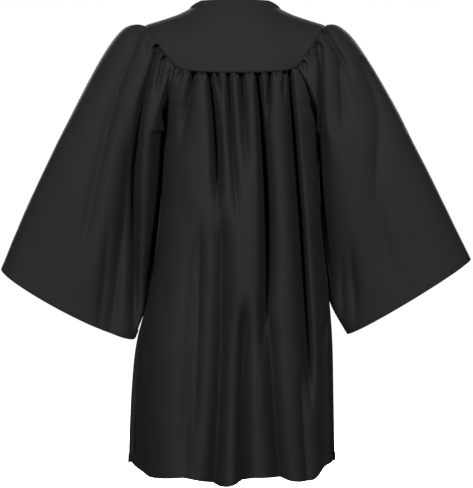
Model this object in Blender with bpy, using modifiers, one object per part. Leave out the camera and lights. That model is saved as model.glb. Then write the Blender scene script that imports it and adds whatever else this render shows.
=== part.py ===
"""A child's graduation gown, filled out as it is worn: yokes, gathered panels, bell sleeves and a zip.

Every cloth piece is a grid of points in the middle of the cloth, worked out here in millimetres and
given its thickness by wall(). The origin lies midway between the wearer's shoulders, +Z is up, the
front of the gown faces -Y and the wearer's left is +X. A drop is a distance below the origin.
"""

from collections import namedtuple

import bmesh
import bpy
import numpy as np
from mathutils import Matrix

MM = 0.001

# Cloth and seams
CLOTH = 1.3
SEAM_GAP = 0.3
LONGEST_MITRE = 1.4

# The grids: cells across and down each piece
BACK_CELLS = 68
HALF_BACK_CELLS = BACK_CELLS // 2
SHOULDER_CELLS = 15
FRONT_CELLS = 28
YOKE_CELLS = 5
SLEEVE_STEPS = (0.0, 0.03, 0.08, 0.15, 0.24, 0.35, 0.47, 0.60, 0.73, 0.87, 1.0)
SLEEVE_PARTS_PER_YOKE_CELL = 4
SLEEVE_PARTS_PER_PANEL_CELL = 2

# Neck and shoulders
NECK_HALF_WIDTH = 74.0
NECK_SIDE_HEIGHT = 10.0
NECK_BACK_DEPTH = 45.0
NECK_BACK_RISE = 12.0
NECK_FLAT_SHARE = 0.70
NECK_RISE_POWER = 1.3
NECK_FRONT_DEPTH = 62.0
NECK_FRONT_DROP = 52.0
SHOULDER_REACH = 143.0
SHOULDER_DROP = 12.0
SHOULDER_HOLLOW = 0.00059
SEAM_TILT = 8.0
NECK_TILT = 27.0
YOKE_EASING = 40

# The seams below the yokes
BACK_YOKE_DROP = 95.5
FRONT_YOKE_DROP = 100.0
FRONT_EDGE = 3.6
YOKE_SEAM_ANGLE = 65.0
COLUMN_EVENING = 0.25
UNDERARM_DROP = 178.0

# Rows of the panels, as drops at the panel's side edge: the armhole first, then the side seam
BACK_ARMHOLE_DROPS = (86.0, 96.0, 108.0, 122.0, 139.0, 158.0, UNDERARM_DROP)
FRONT_ARMHOLE_DROPS = (82.0, 98.0, 106.0, 121.0, 139.0, 158.0, UNDERARM_DROP)
SIDE_DROPS = (205.0, 245.0, 300.0, 370.0, 445.0, 520.0, 575.0, 597.0, 702.0)

# How far the middle of a row hangs below its side edge, by the drop of that edge
Sag = namedtuple("Sag", "edge_drop back front")
SAGS = (
    Sag(86.0, BACK_YOKE_DROP - 86.0, FRONT_YOKE_DROP - 82.0),
    Sag(178.0, 7.0, 12.0),
    Sag(345.0, 2.0, 2.0),
    Sag(530.0, 8.0, 7.0),
    Sag(702.0, 22.0, 20.0),
)

# The side edge of the panels: how far out it lies on the wearer's left and right, and its depth
# along the armhole on the back and on the front
Edge = namedtuple("Edge", "drop left right back front")
EDGES = (
    Edge(82.0, 92.0, 95.0, 64.0, 70.0),
    Edge(100.0, 97.0, 105.0, 63.0, 68.0),
    Edge(118.0, 101.0, 113.5, 57.0, 61.0),
    Edge(140.0, 104.0, 121.5, 45.0, 49.0),
    Edge(160.0, 107.0, 128.0, 26.0, 29.0),
    Edge(178.0, 110.0, 131.0, 0.0, 0.0),
    Edge(250.0, 114.0, 132.0, 0.0, 0.0),
    Edge(340.0, 121.0, 138.0, 0.0, 0.0),
    Edge(430.0, 134.0, 148.0, 0.0, 0.0),
    Edge(510.0, 155.0, 154.0, 0.0, 0.0),
    Edge(600.0, 164.0, 156.0, 0.0, 0.0),
    Edge(702.0, 168.0, 158.0, 0.0, 0.0),
)

# The middle of the back and of the front: how far each lies behind or before the shoulders
Middle = namedtuple("Middle", "drop back front")
MIDDLES = (
    Middle(87.0, 82.0, 90.0),
    Middle(100.0, 84.5, 92.0),
    Middle(170.0, 92.0, 104.0),
    Middle(250.0, 97.0, 109.0),
    Middle(340.0, 101.0, 113.0),
    Middle(530.0, 110.0, 121.0),
    Middle(724.0, 118.0, 126.0),
)

# How far the hem hangs below its even curve, by its place across the gown, and where that starts
HemPlace = namedtuple("HemPlace", "x back front")
HEM = (
    HemPlace(-158.0, -4.0, -4.0),
    HemPlace(-142.0, -7.0, -3.0),
    HemPlace(-126.0, 4.0, 2.0),
    HemPlace(-116.0, 6.0, 5.0),
    HemPlace(-104.0, 4.0, 4.0),
    HemPlace(-86.0, 0.0, -2.0),
    HemPlace(-68.0, -6.0, -6.0),
    HemPlace(-49.0, -10.0, -5.0),
    HemPlace(-31.0, -11.0, 0.0),
    HemPlace(-13.0, -6.0, 2.0),
    HemPlace(5.0, 0.0, 0.0),
    HemPlace(23.0, 2.0, -3.0),
    HemPlace(42.0, -3.0, -6.0),
    HemPlace(60.0, -6.0, -4.0),
    HemPlace(78.0, -7.0, 1.0),
    HemPlace(96.0, -4.0, 4.0),
    HemPlace(115.0, 0.0, 0.0),
    HemPlace(133.0, 3.0, -3.0),
    HemPlace(150.0, 0.0, -2.0),
    HemPlace(168.0, 0.0, 0.0),
)
HEM_WAVE_START = 560.0

# Zip: its tapes behind the front edges, the closed coil between them, the slider and its pull
TAPE = 1.0
TAPE_INNER = 0.4
TAPE_OUTER = 12.0
TAPE_MIDDLE = 8.0
COIL_HALF_WIDTH = 2.2
COIL_THICKNESS = 1.6
ROWS_BELOW_ZIP = 2
STOP_SIZE = (5.0, 5.0, 2.2)
SLIDER_BELOW_NECK = 13.0
SLIDER_SIZE = (8.0, 11.0, 2.2)
SLIDER_BEVEL = 0.6
SLIDER_CLEARANCE = 0.8
BRIDGE_LENGTH = 8.4
BRIDGE_HEIGHT = 3.6
BRIDGE_BAR = 1.3
BRIDGE_WIDTH = 1.4
BRIDGE_SLOPE = 0.8
BRIDGE_CORNER = 1.1
EYE_FOOT = 0.2
EYE_SLOPE = 0.5
EYE_CORNER = 0.65
PULL_AXIS_HEIGHT = 1.3
PULL_THICKNESS = 1.2
PULL_LENGTH = 26.0
PULL_WIDTH = 5.4
PULL_EYE_HALF_WIDTH = 1.4
PULL_EYE_LENGTH = 7.0
PULL_BAR = 1.2
PULL_END_POINTS = 9
WELD = 0.001
X_AXIS = np.array([1.0, 0.0, 0.0])

# Folds of the panels. Each runs down the cloth from its start to its end. Its place is across the
# gown as seen from VIEW_DISTANCE behind the shoulders, + on the wearer's left, and its depth is
# into the gown, so a ridge has a negative one.
VIEW_DISTANCE = 2600.0
Fold = namedtuple(
    "Fold",
    "start end x_start x_middle x_end deep_start deep_middle deep_end wide_start wide_end",
)
BACK_FOLDS = (
    Fold(87, 120, 84, 88, 92, 3, 3, 0, 4, 6),
    Fold(87, 205, 65, 67, 85, 9, 8, 0, 5, 10),
    Fold(87, 112, 52, 52, 52, 3, 2, 0, 4, 4),
    Fold(87, 420, 43, 31, 20, 10, 14, 7, 5, 14),
    Fold(340, 760, 24, 22, 41, 4, 7, 8, 14, 16),
    Fold(87, 140, 30, 27, 24, 4, 3, 0, 4, 5),
    Fold(87, 112, 20, 20, 20, 3, 2, 0, 4, 4),
    Fold(87, 380, 11, 2, -4, 6, 6, 0, 5, 12),
    Fold(87, 108, -2, -2, -2, 3, 2, 0, 4, 4),
    Fold(87, 290, -11, -14, -22, 9, 5, 0, 5, 10),
    Fold(87, 115, -22, -22, -22, 3, 2, 0, 4, 4),
    Fold(87, 560, -33, -48, -46, 9, 22, 7, 5, 15),
    Fold(470, 760, -46, -60, -76, 5, 9, 9, 14, 18),
    Fold(87, 112, -44, -44, -44, 3, 3, 0, 4, 4),
    Fold(87, 190, -55, -54, -50, 9, 7, 0, 4, 6),
    Fold(87, 115, -66, -66, -66, 3, 2, 0, 4, 4),
    Fold(87, 145, -76, -78, -80, 4, 4, 0, 4, 5),
    Fold(87, 520, -86, -100, -122, 9, 16, 6, 5, 12),
    Fold(500, 760, -126, -118, -120, 5, 4, 4, 12, 14),
    Fold(460, 760, -18, -13, -16, 4, 9, 8, 12, 16),
    Fold(330, 760, 52, 68, 79, 3, 4, 4, 16, 18),
    Fold(490, 760, 130, 138, 144, 4, 8, 8, 12, 14),
    Fold(190, 760, 10, -6, 12, -4, -8, -14, 14, 22),
    Fold(150, 760, 92, 92, 103, -3, -6, -8, 20, 26),
    Fold(120, 760, -70, -84, -108, -5, -7, -8, 12, 18),
    Fold(520, 760, -40, -40, -41, -3, -5, -6, 14, 16),
)
FRONT_LEFT_FOLDS = (
    Fold(96, 330, 24, 26, 30, 7, 9, 0, 5, 12),
    Fold(96, 125, 33, 33, 33, 3, 2, 0, 4, 4),
    Fold(94, 560, 42, 49, 46, 9, 16, 5, 5, 14),
    Fold(92, 140, 53, 54, 56, 4, 3, 0, 4, 5),
    Fold(90, 250, 63, 68, 76, 8, 7, 0, 5, 10),
    Fold(88, 115, 73, 73, 73, 3, 2, 0, 4, 4),
    Fold(86, 480, 83, 96, 108, 8, 12, 4, 5, 12),
    Fold(450, 760, 60, 66, 74, 4, 8, 9, 14, 18),
    Fold(500, 760, 122, 128, 131, 4, 7, 7, 12, 15),
    Fold(300, 760, 30, 28, 34, -3, -7, -9, 14, 20),
    Fold(300, 760, 88, 94, 102, -4, -7, -8, 15, 20),
)
FRONT_RIGHT_FOLDS = (
    Fold(96, 420, 22, 30, 34, 8, 12, 4, 5, 13),
    Fold(96, 120, 31, 31, 31, 3, 2, 0, 4, 4),
    Fold(94, 210, 41, 42, 45, 7, 6, 0, 5, 9),
    Fold(93, 130, 50, 50, 51, 4, 3, 0, 4, 5),
    Fold(91, 590, 60, 68, 63, 9, 17, 6, 5, 14),
    Fold(88, 118, 71, 71, 72, 3, 2, 0, 4, 4),
    Fold(86, 300, 81, 90, 101, 8, 8, 0, 5, 10),
    Fold(430, 760, 36, 42, 50, 4, 8, 8, 14, 18),
    Fold(520, 760, 100, 108, 114, 4, 8, 8, 13, 17),
    Fold(320, 760, 84, 82, 80, -3, -6, -8, 14, 20),
    Fold(460, 760, 20, 20, 22, -3, -5, -7, 12, 16),
)
SAG_POWER = 2.2
SIDE_FADE_CELLS = 3.0
ZIP_FLAT = 16.0
ZIP_FLAT_FADE = 8.0
LONG_FOLD_GROWTH = 70.0
SEAM_FOLD_GROWTH = 22.0
FIRST_LONG_FOLD = 115.0

# Sleeves: the cuff's upper and lower ends as seen from behind, and how the layers between them hang
Cuff = namedtuple("Cuff", "tip_out tip_drop foot_out foot_drop back_sag front_lift half_depth")
LEFT_CUFF = Cuff(367.0, 398.0, 157.0, 507.0, 13.0, 14.0, 50.0)
RIGHT_CUFF = Cuff(370.0, 383.0, 177.0, 500.0, 4.0, 16.0, 50.0)
BODY_CLEARANCE = 4.0
CLEARANCE_SOFTNESS = 4.0
CLEARANCE_START = 20.0

# How a sleeve leaves the armhole: outwards, less so at the arm's front and back, where it spreads
# and falls, and rising a little on top; then how hard it is pulled that way
OUTWARD_LOSS = 0.45
SIDE_SPREAD = 0.30
SIDE_FALL = 0.75
TOP_RISE = 0.19
LEAVING_PULL = 60.0
SIDE_PULL = 60.0
TOP_PULL = 100.0

# The way and pull with which the cloth on top of the arm and the cloth under it come to the cuff
ARRIVING_TOP = np.array([200.0, 0.0, -400.0])
ARRIVING_UNDER = np.array([230.0, 0.0, -380.0])

# How much fuller the cloth on top of the arm is than that path, by its share of the length
FULLNESS_PLACES = (0.0, 0.06, 0.15, 0.35, 0.6, 0.85, 1.0)
LEFT_FULLNESS = (0.0, 6.0, 10.5, 8.0, 7.5, 7.0, 3.0)
RIGHT_FULLNESS = (0.0, 4.5, 5.5, 4.0, 3.0, 3.5, 3.0)
FULLNESS_WAY = np.array([0.89, 0.0, 0.45])

# Behind the arm the cloth juts out below the armhole. Under the arm it lies forward and near the
# body. Rounds and widths are shares of the way round, places and the rest are of the length.
UNDERARM_WIDTH = 0.12
UNDERARM_SHELF = 12.0
SHELF_ROUND = 0.41
SHELF_WIDTH = 0.07
SHELF_PLACE = 0.12
SHELF_LENGTH = 0.07
SHELF_START = 0.05
UNDERSIDE_FORWARD = 48.0
UNDERSIDE_INWARD = 8.0
FORWARD_START = 0.2
INWARD_START = 0.26
FORWARD_END = 0.3
SLEEVE_FOLD_START = 0.05
SLEEVE_FOLD_END = 0.1

# Folds of a sleeve: their places as shares of the way round from the top over the back, at the
# armhole and at the cuff, and the stretch of the sleeve's length that each covers
SleeveFold = namedtuple(
    "SleeveFold", "start end place_start place_end deep_start deep_end wide_start wide_end"
)
LEFT_SLEEVE_FOLDS = (
    SleeveFold(0.0, 0.22, 0.060, 0.055, 5, 0, 6, 9),
    SleeveFold(0.0, 1.05, 0.090, 0.150, 8, 3, 6, 16),
    SleeveFold(0.0, 0.20, 0.120, 0.130, 5, 0, 5, 8),
    SleeveFold(0.0, 0.85, 0.155, 0.330, 12, 10, 6, 14),
    SleeveFold(0.0, 0.25, 0.190, 0.230, 7, 0, 5, 9),
    SleeveFold(0.0, 0.22, 0.900, 0.890, 5, 0, 6, 9),
    SleeveFold(0.0, 0.90, 0.860, 0.800, 9, 6, 6, 16),
    SleeveFold(0.0, 0.20, 0.820, 0.800, 5, 0, 5, 8),
    SleeveFold(0.0, 0.80, 0.785, 0.680, 10, 7, 6, 14),
)
RIGHT_SLEEVE_FOLDS = (
    SleeveFold(0.0, 0.45, 0.050, 0.060, 9, 2, 6, 12),
    SleeveFold(0.0, 0.20, 0.085, 0.090, 5, 0, 6, 8),
    SleeveFold(0.0, 0.95, 0.120, 0.170, 8, 5, 6, 18),
    SleeveFold(0.0, 0.60, 0.160, 0.240, 6, 4, 6, 14),
    SleeveFold(0.0, 0.25, 0.195, 0.230, 7, 0, 5, 9),
    SleeveFold(0.0, 0.25, 0.910, 0.900, 5, 0, 6, 9),
    SleeveFold(0.0, 0.85, 0.870, 0.830, 8, 5, 6, 16),
    SleeveFold(0.0, 0.20, 0.830, 0.820, 5, 0, 5, 8),
    SleeveFold(0.0, 0.90, 0.790, 0.700, 9, 8, 6, 15),
)

BLACK_CLOTH = (0.012, 0.012, 0.013, 1.0)


def curve_through(knots, values, places):
    """Smooth values at the given places of a curve through knots.

    A cubic runs through each pair of knots. Its slope at a knot is the mean of the slopes on both
    sides, or none where the values turn back there, so it never swings past them.
    """
    knots, values = np.asarray(knots, float), np.asarray(values, float)
    steps = np.diff(knots)
    rises = np.diff(values) / steps
    inner = np.where(rises[1:] * rises[:-1] > 0, (rises[1:] + rises[:-1]) / 2, 0.0)
    slopes = np.concatenate([rises[:1], inner, rises[-1:]])
    place = np.clip(np.searchsorted(knots, places, side="right") - 1, 0, len(steps) - 1)
    t = np.clip((places - knots[place]) / steps[place], 0.0, 1.0)
    return (
        values[place] * (2 * t**3 - 3 * t**2 + 1)
        + slopes[place] * steps[place] * (t**3 - 2 * t**2 + t)
        + values[place + 1] * (3 * t**2 - 2 * t**3)
        + slopes[place + 1] * steps[place] * (t**3 - t**2)
    )


def along(table, column, places):
    """Smooth values of one column of a table at the given places, which are its first column."""
    return curve_through([row[0] for row in table], [getattr(row, column) for row in table], places)


def smooth(t):
    """Rises from 0 to 1 as t does, level at both ends."""
    t = np.clip(t, 0.0, 1.0)
    return t * t * (3 - 2 * t)


def unit(vectors):
    return vectors / np.linalg.norm(vectors, axis=-1, keepdims=True)


def grid_normals(points, ring=False):
    """Unit normals of a grid, from the differences between each point's neighbours."""
    if ring:
        across = np.roll(points, -1, axis=1) - np.roll(points, 1, axis=1)
    else:
        across = np.gradient(points, axis=1)
    return unit(np.cross(across, np.gradient(points, axis=0)))


def ring_normals(points):
    """Unit normals of a sleeve's grid, on the side that mostly points away from its hollow."""
    normals = grid_normals(points, ring=True)
    away = points - points.mean(axis=1, keepdims=True)
    return normals * np.sign((normals * away).sum())


def wall(name, middle, offsets, material, ring=False):
    """The closed solid of a piece: its grid moved out and in by the offsets, joined by a rim."""
    rows, columns = middle.shape[:2]
    outer = np.arange(rows * columns).reshape(rows, columns)
    if ring:
        outer = np.concatenate([outer, outer[:, :1]], axis=1)
    inner = outer + rows * columns
    points = np.concatenate([(middle + offsets).reshape(-1, 3), (middle - offsets).reshape(-1, 3)])

    def strips(grid, turned):
        a, b = grid[:-1, :-1].ravel(), grid[:-1, 1:].ravel()
        c, d = grid[1:, 1:].ravel(), grid[1:, :-1].ravel()
        halves = np.concatenate([np.stack([a, b, c], 1), np.stack([a, c, d], 1)])
        return halves[:, ::-1] if turned else halves

    def rim(first, second):
        a, b, c, d = first[:-1], first[1:], second[1:], second[:-1]
        return np.concatenate([np.stack([a, b, c], 1), np.stack([a, c, d], 1)])

    faces = [strips(outer, True), strips(inner, False)]
    faces.append(rim(outer[0], inner[0]))
    faces.append(rim(inner[-1], outer[-1]))
    if not ring:
        faces.append(rim(inner[:, 0], outer[:, 0]))
        faces.append(rim(outer[:, -1], inner[:, -1]))
    faces = np.concatenate(faces)
    corners = points[faces]
    volume = np.einsum("ij,ij->i", corners[:, 0], np.cross(corners[:, 1], corners[:, 2])).sum()
    if volume < 0:
        faces = faces[:, ::-1]
    mesh = bpy.data.meshes.new(name)
    mesh.from_pydata((points * MM).tolist(), [], faces.tolist())
    mesh.materials.append(material)
    piece = bpy.data.objects.new(name, mesh)
    GOWN.objects.link(piece)
    return piece


def seam(points, into_one, into_two, outward, ring=False):
    """How two pieces meet at a seam: the way from the first to the second, and the mitred offsets.

    Both pieces use the same offsets there, so their cut faces are parallel.
    """
    if ring:
        line = unit(np.roll(points, -1, axis=0) - np.roll(points, 1, axis=0))
    else:
        line = unit(np.gradient(points, axis=0))
    ways = []
    for into in (into_one, into_two):
        ways.append(unit(into - line * (into * line).sum(-1, keepdims=True)))
    across = unit(ways[1] - ways[0])
    through = unit(np.cross(line, across))
    through *= np.sign((through * outward).sum(-1, keepdims=True))
    first_normal = np.cross(line, ways[0])
    mitre = 1 / np.maximum(np.abs((first_normal * through).sum(-1, keepdims=True)), 1 / LONGEST_MITRE)
    return across, through * mitre * CLOTH / 2


def fold_depths(folds, x, drop):
    """The summed depth of the folds at each point, each a bell curve across its own path."""
    total = np.zeros_like(x)
    for fold in folds:
        t = np.clip((drop - fold.start) / (fold.end - fold.start), 0.0, 1.0)
        first, second, third = (1 - t) * (1 - 2 * t), 4 * t * (1 - t), t * (2 * t - 1)
        place = fold.x_start * first + fold.x_middle * second + fold.x_end * third
        depth = fold.deep_start * first + fold.deep_middle * second + fold.deep_end * third
        width = fold.wide_start + (fold.wide_end - fold.wide_start) * np.sqrt(t)
        growth = LONG_FOLD_GROWTH if fold.start > FIRST_LONG_FOLD else SEAM_FOLD_GROWTH
        present = smooth((drop - fold.start) / growth) * smooth((fold.end - drop) / growth)
        total += depth * present * np.exp(-(((x - place) / width) ** 2))
    return total


def panel(side, shares, hands, armhole_drops, centre_gaps=0.0):
    """The smooth grid of a front or back before its folds: a row of cloth for each side drop.

    A row is an arc of an ellipse. It spans YOKE_SEAM_ANGLE each way at the yoke and a quarter
    turn from the underarm down, and its middle hangs below its side edges. COLUMN_EVENING moves
    the columns of the lower rows inwards, so that they run down as straight as the folds do. The
    hem is let down or drawn up a little, and the rows above it less and less.
    """
    edge_drops = np.array(armhole_drops + SIDE_DROPS)
    sag = along(SAGS, side, edge_drops)[:, None]
    depth_edge = along(EDGES, side, edge_drops)[:, None]
    depth_middle = along(MIDDLES, side, edge_drops + sag[:, 0])[:, None]
    turned = smooth((edge_drops - armhole_drops[0]) / (UNDERARM_DROP - armhole_drops[0]))
    widest = np.radians(YOKE_SEAM_ANGLE + (90 - YOKE_SEAM_ANGLE) * turned)[:, None]
    left, right = (along(EDGES, column, edge_drops)[:, None] for column in ("left", "right"))
    reach = np.where(hands > 0, left, right)
    gap_angle = np.arcsin(centre_gaps / reach * np.sin(widest))
    even_shares = shares - COLUMN_EVENING * turned[:, None] * shares * (1 - shares**2)
    angle = gap_angle + (widest - gap_angle) * even_shares
    x = hands * reach * np.sin(angle) / np.sin(widest)
    bulge = (np.cos(angle) - np.cos(widest)) / (1 - np.cos(widest))
    y = depth_edge + (depth_middle - depth_edge) * bulge
    lowness = smooth((edge_drops - HEM_WAVE_START) / (edge_drops[-1] - HEM_WAVE_START))[:, None]
    z = -(edge_drops[:, None] + sag) + sag * shares**SAG_POWER - along(HEM, side, x) * lowness
    return np.stack([x, y if side == "back" else -y, z], axis=-1)


def facing(normals, way):
    """The normals, each turned round where it points against the given way."""
    return normals * np.where((normals * way).sum(-1, keepdims=True) < 0, -1.0, 1.0)


def folded(grid, folds, side):
    """The grid with its folds pressed in along the cloth's own normals.

    It stays as it is along the yoke seam, at the side edges and beside the zip.
    """
    seen = grid[..., 0] * VIEW_DISTANCE / (VIEW_DISTANCE - np.abs(grid[..., 1]))
    depth = fold_depths(folds, seen if side == "back" else np.abs(seen), -grid[..., 2])
    columns = np.arange(grid.shape[1])
    to_side = columns[::-1]
    if side == "back":
        to_side = np.minimum(columns, to_side)
    else:
        depth *= smooth((np.abs(grid[..., 0]) - ZIP_FLAT) / ZIP_FLAT_FADE)
    depth *= smooth(to_side / SIDE_FADE_CELLS)
    depth[0] = 0.0
    out = (0.0, 1.0, 0.0) if side == "back" else (0.0, -1.0, 0.0)
    return grid - facing(grid_normals(grid), out) * depth[..., None]


def neck_back(shares, hands):
    """The top edge of the back yoke: half an ellipse round the neck, then the shoulder seams."""
    neck_share = (HALF_BACK_CELLS - SHOULDER_CELLS) / HALF_BACK_CELLS
    angle = np.clip(shares / neck_share, 0, 1) * np.pi / 2
    past_neck = np.clip((shares - neck_share) / (1 - neck_share), 0, 1)
    rise = NECK_BACK_RISE * np.minimum(1, np.cos(angle) / NECK_FLAT_SHARE) ** NECK_RISE_POWER
    points = np.stack(
        [
            hands * NECK_HALF_WIDTH * np.sin(angle),
            NECK_BACK_DEPTH * np.cos(angle),
            NECK_SIDE_HEIGHT + rise,
        ],
        axis=-1,
    )
    return np.where((past_neck > 0)[:, None], shoulder(past_neck, hands), points)


def neck_front(shares, hand):
    """The top edge of a front yoke: from the point of the V up to the neck, then the shoulder."""
    neck_share = (FRONT_CELLS - SHOULDER_CELLS) / FRONT_CELLS
    angle = np.clip(shares / neck_share, 0, 1) * np.pi / 2
    past_neck = np.clip((shares - neck_share) / (1 - neck_share), 0, 1)
    climb = NECK_FRONT_DROP + NECK_SIDE_HEIGHT
    points = np.stack(
        [
            hand * (FRONT_EDGE + (NECK_HALF_WIDTH - FRONT_EDGE) * np.sin(angle)),
            -NECK_FRONT_DEPTH * np.cos(angle),
            climb * angle / (np.pi / 2) - NECK_FRONT_DROP,
        ],
        axis=-1,
    )
    return np.where((past_neck > 0)[:, None], shoulder(past_neck, hand), points)


def shoulder(share, hands):
    """Points along a shoulder seam, from the neck at 0 to the sleeve at 1: a slightly hollow line."""
    length = SHOULDER_REACH - NECK_HALF_WIDTH
    slope = (NECK_SIDE_HEIGHT + SHOULDER_DROP) / length + SHOULDER_HOLLOW * length
    out = length * share
    z = NECK_SIDE_HEIGHT - slope * out + SHOULDER_HOLLOW * out**2
    return np.stack([hands * (NECK_HALF_WIDTH + out), np.zeros_like(share), z], axis=-1)


def yoke(top, seam_line, neck_depth):
    """The smooth grid of a yoke from its top edge down to its seam.

    Each column is the last part of a quarter turn: it starts tilted, more so by the neck than on
    the shoulder, and hangs straight where it meets the panel. Then the cloth is eased sideways,
    which rounds the crease below the corner of the neck.
    """
    tilt = np.radians(SEAM_TILT + NECK_TILT * np.abs(top[:, 1]) / neck_depth)
    turn = tilt + (np.pi / 2 - tilt) * np.linspace(0, 1, YOKE_CELLS + 1)[:, None]
    out = ((np.sin(turn) - np.sin(tilt)) / (1 - np.sin(tilt)))[..., None]
    down = 1 - (np.cos(turn) / np.cos(tilt))[..., None]
    span = seam_line - top
    points = top + span * np.concatenate([down, out, down], axis=-1)
    for _ in range(YOKE_EASING):
        points[1:-1, 1:-1] = (points[1:-1, :-2] + 2 * points[1:-1, 1:-1] + points[1:-1, 2:]) / 4
    return points


def cuff_ring(cuff, shares):
    """The sleeve's lower edge: a flat ellipse, its back layer sagging and its front one lifted."""
    tip = np.array([cuff.tip_out, 0.0, -cuff.tip_drop])
    foot = np.array([cuff.foot_out, 0.0, -cuff.foot_drop])
    angle = 2 * np.pi * shares[:, None]
    ring = (tip + foot) / 2 + (tip - foot) / 2 * np.cos(angle)
    sine = np.sin(angle[:, 0])
    ring[:, 1] += cuff.half_depth * sine
    ring[:, 2] += np.where(sine > 0, -cuff.back_sag, cuff.front_lift) * np.abs(sine)
    return ring


def leaving(shares):
    """The way and pull with which the sleeve leaves the armhole, by the share of the way round."""
    angle = 2 * np.pi * shares
    sideways = np.sin(angle) ** 2
    top = np.clip(np.cos(angle), 0, 1)
    way = np.stack(
        [
            1.0 - OUTWARD_LOSS * sideways,
            SIDE_SPREAD * np.sin(angle),
            TOP_RISE * top - SIDE_FALL * sideways,
        ],
        axis=-1,
    )
    return way * (LEAVING_PULL + SIDE_PULL * sideways + TOP_PULL * top**2)[:, None]


def arriving(shares):
    """The way and pull with which the sleeve comes to its cuff."""
    lowness = (1 - np.cos(2 * np.pi * shares[:, None])) / 2
    return ARRIVING_TOP + (ARRIVING_UNDER - ARRIVING_TOP) * lowness


def clear_of_body(points, side_column):
    """Moves points that come too near the body's side outwards, smoothly, to BODY_CLEARANCE from it."""
    drop = -points[..., 2]
    half_width = along(EDGES, side_column, drop)
    back = along(MIDDLES, "back", drop)
    front = along(MIDDLES, "front", drop)
    depth = np.where(points[..., 1] > 0, back, front)
    inside = np.clip(np.abs(points[..., 1]) / depth, 0, 1)
    nearest = half_width * np.sqrt(1 - inside**2) + BODY_CLEARANCE
    spare = points[..., 0] - nearest
    moved = nearest + (spare + np.sqrt(spare**2 + CLEARANCE_SOFTNESS**2)) / 2
    below = smooth((drop - UNDERARM_DROP) / CLEARANCE_START)
    points[..., 0] += (moved - points[..., 0]) * below
    return points


def sleeve(start, shares, cuff, fullness, folds, side_column):
    """The grid of a sleeve from its armhole ring to its cuff, on the wearer's left.

    Each line down the sleeve is a cubic that leaves the armhole and arrives at the cuff in its own
    direction. The cloth on top is let out by the fullness, the cloth behind the underarm juts out
    before it hangs, and the folds are pressed in last.
    """
    t = np.array(SLEEVE_STEPS)[:, None, None]
    end = cuff_ring(cuff, shares)
    points = (
        start * (2 * t**3 - 3 * t**2 + 1)
        + leaving(shares) * (t**3 - 2 * t**2 + t)
        + end * (3 * t**2 - 2 * t**3)
        + arriving(shares) * (t**3 - t**2)
    )
    length = t[:, :, 0]
    top = ((1 + np.cos(2 * np.pi * shares)) / 2) ** 2
    points += (curve_through(FULLNESS_PLACES, fullness, length) * top)[..., None] * FULLNESS_WAY
    underarm = np.exp(-(((shares - 0.5) / UNDERARM_WIDTH) ** 2))
    behind = np.exp(-(((shares - SHELF_ROUND) / SHELF_WIDTH) ** 2))
    shelf = np.exp(-(((length - SHELF_PLACE) / SHELF_LENGTH) ** 2)) * smooth(length / SHELF_START)
    points[..., 0] += UNDERARM_SHELF * shelf * behind
    mid_length = smooth(length / FORWARD_START) * smooth((1 - length) / FORWARD_END)
    points[..., 1] -= UNDERSIDE_FORWARD * mid_length * underarm
    points[..., 0] -= UNDERSIDE_INWARD * smooth(length / INWARD_START) * mid_length * underarm
    points[1:] = clear_of_body(points[1:], side_column)
    around = np.linalg.norm(np.roll(points, -1, axis=1) - points, axis=-1).sum(axis=1)
    depth = np.zeros(points.shape[:2])
    for fold in folds:
        share = np.clip((length - fold.start) / (fold.end - fold.start), 0, 1)
        place = fold.place_start + (fold.place_end - fold.place_start) * share
        deep = fold.deep_start + (fold.deep_end - fold.deep_start) * share
        wide = fold.wide_start + (fold.wide_end - fold.wide_start) * share
        present = smooth((length - fold.start) / SLEEVE_FOLD_START)
        present *= smooth((fold.end - length) / SLEEVE_FOLD_END)
        distance = (shares - place) * around[:, None]
        depth += deep * present * np.exp(-((distance / wide) ** 2))
    return points - ring_normals(points) * depth[..., None]


def finer_ring(nodes, parts):
    """A ring with each of its sides cut into the given number of equal parts."""
    following = np.roll(nodes, -1, axis=0)
    pieces = []
    for first, second, count in zip(nodes, following, parts):
        steps = np.arange(count)[:, None] / count
        pieces.append(first + (second - first) * steps)
    return np.concatenate(pieces)


def line_at(line, distance):
    """The point of a line of points at a distance along it."""
    travelled = np.concatenate([[0], np.cumsum(np.linalg.norm(np.diff(line, axis=0), axis=1))])
    return np.array([np.interp(distance, travelled, line[:, axis]) for axis in range(3)])


def placed(piece, origin, x_axis, y_axis):
    """Puts a piece at a place in millimetres, with its own X and Y turned to the given ways."""
    frame = Matrix(np.stack([x_axis, y_axis, np.cross(x_axis, y_axis)], axis=1).tolist())
    piece.matrix_world = Matrix.Translation((origin * MM).tolist()) @ frame.to_4x4()
    return piece


def block(name, size, bevel, finish):
    """A box with bevelled edges about its own middle: its width, its length and its height."""
    mesh = bpy.data.meshes.new(name)
    cage = bmesh.new()
    bmesh.ops.create_cube(cage, size=1.0)
    bmesh.ops.scale(cage, vec=[side * MM for side in size], verts=cage.verts)
    cage.to_mesh(mesh)
    cage.free()
    mesh.materials.append(finish)
    piece = bpy.data.objects.new(name, mesh)
    GOWN.objects.link(piece)
    edges = piece.modifiers.new("rounded edges", "BEVEL")
    edges.width = bevel * MM
    edges.segments = 1
    return piece


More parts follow.
